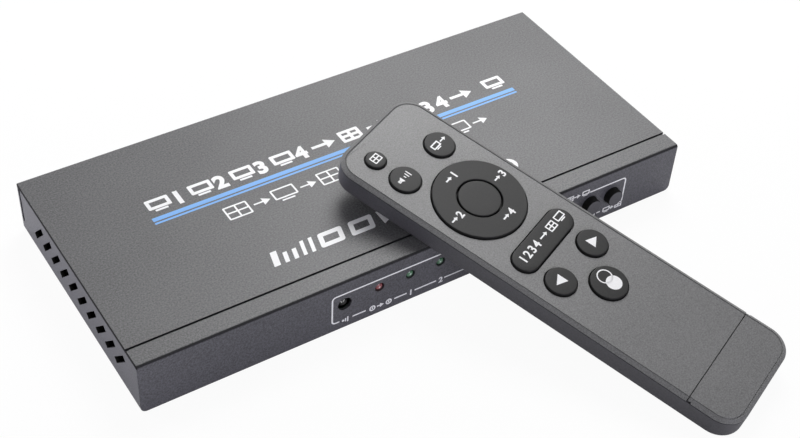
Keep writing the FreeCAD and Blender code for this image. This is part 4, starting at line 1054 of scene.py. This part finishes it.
def lamp(name, node, x, finish):
    """A clear resin lamp: collar, straight body and a round dome behind its hole."""
    piece = disc(x, LAMP_HEIGHT, LAMP_RADIUS + LAMP_COLLAR_WIDE)
    collared(piece, LAMP_BACK, LAMP_COLLAR_THICK, LAMP_COLLAR_WIDE, -LAMP_RECESS)
    soften_rim(piece, -LAMP_RECESS, LAMP_RADIUS - LAMP_TIP, 10)
    set_down(piece, name, ON_FRONT, "case", finish, node, smooth=60)


lamp("power_lamp_lens", "power_lamp", POWER_LAMP, lamp_red)
for index, number in enumerate(INPUT_NUMBERS):
    lamp("input_lamp_%d_lens" % number, "input_lamp_%d" % number,
         FIRST_LAMP + LAMP_PITCH * index, lamp_green)

BUTTON_X, BUTTON_PITCH, BUTTON_HEIGHT, BUTTON_RADIUS = 63.4, 9.35, 9.4, 2.95
BUTTON_BACK, BUTTON_PROUD, BUTTON_SOFT = -2.2, 2.5, 0.3
BUTTON_COLLAR_WIDE, BUTTON_COLLAR_THICK = 0.95, 1.0
for side, x in (("left", BUTTON_X), ("right", BUTTON_X + BUTTON_PITCH)):
    button = disc(x, BUTTON_HEIGHT, BUTTON_RADIUS + BUTTON_COLLAR_WIDE, points=96)
    collared(button, BUTTON_BACK, BUTTON_COLLAR_THICK, BUTTON_COLLAR_WIDE, BUTTON_PROUD)
    soften_rim(button, BUTTON_PROUD, BUTTON_SOFT, 4)
    set_down(button, side + "_button_cap", ON_FRONT, side + "_button", button_plastic,
             "button_%s_cap" % side, smooth=40)

CLIP_LINE, CLIP_BACK, CLIP_THICK = 0.36, -2.2, 1.7
clip = joined([line_between((-33.0, 12.0), (-32.35, 10.95), CLIP_LINE),
               line_between((-31.5, 11.9), (-32.0, 11.05), CLIP_LINE)])
tidy(clip)
slab(clip, CLIP_BACK, CLIP_THICK)
tidy(clip)
set_down(clip, "receiver_clip", ON_FRONT, "case", zinc)


# Gold contacts on the sockets' tongues and the rear panel's small signs

INPUTS = [22.0, -3.0, -28.0, -53.0]
OUTPUT = 52.0
TONGUE_TOP = 9.3
CONTACT_COUNT, CONTACT_PITCH, CONTACT_Y = 10, 0.9, 37.2
CONTACT_WIDE, CONTACT_LONG, CONTACT_THICK = 0.45, 8.2, 0.06
strips = joined([tile(x + CONTACT_PITCH * (index - (CONTACT_COUNT - 1) / 2), CONTACT_Y,
                      CONTACT_WIDE, CONTACT_LONG, 0.08, steps=2)
                 for x in INPUTS + [OUTPUT] for index in range(CONTACT_COUNT)])
tidy(strips)
slab(strips, TONGUE_TOP, CONTACT_THICK)
tidy(strips)
set_down(strips, "socket_contacts", SOLID, "case", gold)

REAR_HIGH, REAR_LINE, REAR_MIDDLE = 2.4, 0.3, 14.6
REAR_ARROW, REAR_ARROW_HIGH, REAR_ARROW_WIDE = 2.2, 1.4, 3.0
REAR_SCREEN = 1.6
# The ring over the power jack: its place, radius and line
JACK_RING = (-80.0, 17.6, 0.9, 0.25)
signs = []
for number, x in enumerate(INPUTS, 1):
    signs.append(numeral(number, -x, REAR_MIDDLE, REAR_HIGH))
    signs += arrow_sign(-x + REAR_ARROW, REAR_MIDDLE - REAR_ARROW_HIGH / 2, REAR_ARROW_HIGH, REAR_LINE,
                        REAR_ARROW_WIDE)
signs += screen_sign(-OUTPUT - REAR_SCREEN, REAR_MIDDLE - REAR_HIGH / 2, REAR_HIGH, REAR_LINE)
signs.append(ring(*JACK_RING))
printed("rear_signs", signs, ON_REAR, "case", white_ink)


# Signs on the remote's keys

def key_signs(name, shapes, body, lift=KEY_PROUD + CROWN_HIGH):
    """A sign on a key's crown."""
    printed(name, shapes, ON_REMOTE, body, white_ink, lift)


key_signs("screen_key_sign", pane_sign(-11.2, 62.25, 3.0, 0.42, 3.6), "screen_key")
SOUND_MIDDLE, SOUND_LINE = 52.6, 0.4
SOUND_FRONTS = [(-9.2, 1.0), (-8.2, 1.8), (-7.2, 2.4)]
key_signs("sound_key_sign",
          [tile(-12.0, SOUND_MIDDLE, 0.9, 1.1, INK_CORNER), wedge(-11.0, SOUND_MIDDLE, 1.7, 2.2, turn=180)]
          + [tile(x, SOUND_MIDDLE, SOUND_LINE, high, INK_CORNER) for x, high in SOUND_FRONTS], "sound_key")
key_signs("mode_key_sign",
          screen_sign(6.3, 51.0, 2.7, 0.5) + arrow_sign(10.4, 51.5, 2.0, 0.5, 2.7), "mode_key")
# Each input's number, and where its arrow ends
RING_SIGNS = [(1, 0.7, 41.6), (2, -11.2, 31.3), (3, 11.8, 30.3), (4, 0.8, 19.8)]
RING_FIGURE, RING_FIGURE_ASIDE, RING_WEIGHT = 2.7, 1.6, 0.12
RING_ARROW_HIGH, RING_ARROW_WIDE, RING_LINE = 1.9, 2.7, 0.55
shapes = []
for number, x, y in RING_SIGNS:
    shapes += arrow_sign(x - RING_ARROW_WIDE, y - RING_ARROW_HIGH / 2, RING_ARROW_HIGH, RING_LINE,
                         RING_ARROW_WIDE)
    shapes.append(numeral(number, x + RING_FIGURE_ASIDE, y, RING_FIGURE, RING_WEIGHT))
key_signs("ring_key_signs", shapes, "ring_key", KEY_PROUD)
PLATE_SIGN_MIDDLE, PLATE_SIGN_HIGH, PLATE_SIGN_LINE, PLATE_WEIGHT = 7.0, 3.0, 0.45, 0.1
PLATE_SIGN_FOOT = PLATE_SIGN_MIDDLE - PLATE_SIGN_HIGH / 2
PLATE_LEFT, PLATE_PITCH = -10.8, 2.6
shapes = [numeral(number, PLATE_LEFT + PLATE_PITCH * index, PLATE_SIGN_MIDDLE, PLATE_SIGN_HIGH, PLATE_WEIGHT)
          for index, number in enumerate(INPUT_NUMBERS)]
shapes += arrow_sign(-0.6, PLATE_SIGN_MIDDLE - 1.0, 2.0, 0.5, 3.6)
shapes += pane_sign(4.2, PLATE_SIGN_FOOT, PLATE_SIGN_HIGH, PLATE_SIGN_LINE, 3.8)
shapes += screen_sign(9.0, PLATE_SIGN_FOOT, PLATE_SIGN_HIGH, PLATE_SIGN_LINE)
key_signs("sign_plate_signs", shapes, "remote", KEY_PROUD + PLATE_CROWN_HIGH)
key_signs("left_key_sign", [wedge(-9.55, -5.95, 3.8, 3.9, turn=180)], "left_key")
key_signs("right_key_sign", [wedge(9.75, -6.0, 3.8, 3.9)], "right_key")
key_signs("definition_key_sign", [ring(0.8, -15.7, 2.6, 0.4), disc(0.8, -19.1, 2.6)], "definition_key")


# Camera, light and floor

PICTURE_WIDE, SENSOR, FOCAL = 800, 36.0, 1431.71
RIGHT = Vector((0.843071, -0.535830, 0.046007))
DOWN = Vector((-0.334429, -0.589333, -0.735421))
FORWARD = Vector((0.421174, 0.604626, -0.676047))
EYE = Vector((-192.870, -303.079, 325.830)) * MM

bpy.ops.object.camera_add()
camera = bpy.context.object
camera.name = "picture_camera"
turned = Matrix((RIGHT, -DOWN, -FORWARD)).transposed().to_4x4()
camera.matrix_world = Matrix.Translation(EYE) @ turned
camera.data.sensor_width = SENSOR
camera.data.lens = FOCAL * SENSOR / PICTURE_WIDE
camera.data.clip_start = 0.01
camera.data.clip_end = 20
bpy.context.scene.camera = camera


AIM = Vector((0.02, -0.03, 0.01))


def softbox(name, place, power, size=0.25, colour=(1, 1, 1)):
    """A square area lamp that looks at the middle of the object."""
    bpy.ops.object.light_add(type="AREA", location=place)
    lamp_object = bpy.context.object
    lamp_object.name = name
    lamp_object.rotation_mode = "QUATERNION"
    lamp_object.rotation_quaternion = (Vector(place) - AIM).to_track_quat("Z", "Y")
    lamp_object.data.shape = "SQUARE"
    lamp_object.data.size = size
    lamp_object.data.energy = power
    lamp_object.data.color = colour


COOL = (0.97, 0.96, 1.08)
softbox("key_softbox", (0.27, 0.26, 0.60), 3.8, 0.4)
softbox("near_softbox", (0.21, 0.23, 0.32), 0.5)
softbox("rear_softbox", (-0.80, 1.0, 0.34), 3.0, 0.7)
softbox("front_softbox", (0.10, -1.25, 0.30), 7.1, 0.7, COOL)
softbox("left_softbox", (-0.42, 0.40, 0.05), 2.9, 0.22, COOL)

world = bpy.data.worlds.new("studio")
bpy.context.scene.world = world
world.use_nodes = True
tree = world.node_tree
background = tree.nodes["Background"]
background.inputs["Color"].default_value = (1, 1, 1, 1)


def node_maths(tree, operation, first, second):
    """Adds a Math node to a tree, and gives its result."""
    step = tree.nodes.new("ShaderNodeMath")
    step.operation = operation
    for socket, value in zip(step.inputs, (first, second)):
        if isinstance(value, float):
            socket.default_value = value
        else:
            tree.links.new(value, socket)
    return step.outputs[0]


GLOSSY_WHITE = 0.5


def seen_directly(tree):
    """How white the surroundings look: fully to the camera and through resin, less in a reflection."""
    rays = tree.nodes.new("ShaderNodeLightPath")
    glossy = node_maths(tree, "MULTIPLY", rays.outputs["Is Glossy Ray"], GLOSSY_WHITE)
    seen = node_maths(tree, "MAXIMUM", rays.outputs["Is Camera Ray"], glossy)
    return node_maths(tree, "MAXIMUM", seen, rays.outputs["Is Transmission Ray"])


AMBIENT = 0.06
strength = node_maths(tree, "MULTIPLY", seen_directly(tree), 1.0 - AMBIENT)
tree.links.new(node_maths(tree, "ADD", strength, AMBIENT), background.inputs["Strength"])

FLOOR_SIZE, FLOOR_WHITE = 12, 0.95
bpy.ops.mesh.primitive_plane_add(size=FLOOR_SIZE)
floor = bpy.context.object
floor.name = "floor"
paper = bpy.data.materials.new("white_paper")
paper.use_nodes = True
tree = paper.node_tree
matt = tree.nodes["Principled BSDF"]
matt.inputs["Base Color"].default_value = (FLOOR_WHITE, FLOOR_WHITE, FLOOR_WHITE, 1)
matt.inputs["Roughness"].default_value = 0.9
white = tree.nodes.new("ShaderNodeEmission")
mixer = tree.nodes.new("ShaderNodeMixShader")
tree.links.new(node_maths(tree, "MULTIPLY", seen_directly(tree), FLOOR_WHITE), mixer.inputs[0])
tree.links.new(matt.outputs[0], mixer.inputs[1])
tree.links.new(white.outputs[0], mixer.inputs[2])
tree.links.new(mixer.outputs[0], tree.nodes["Material Output"].inputs["Surface"])
floor.data.materials.append(paper)

bpy.context.scene.view_settings.view_transform = "Standard"
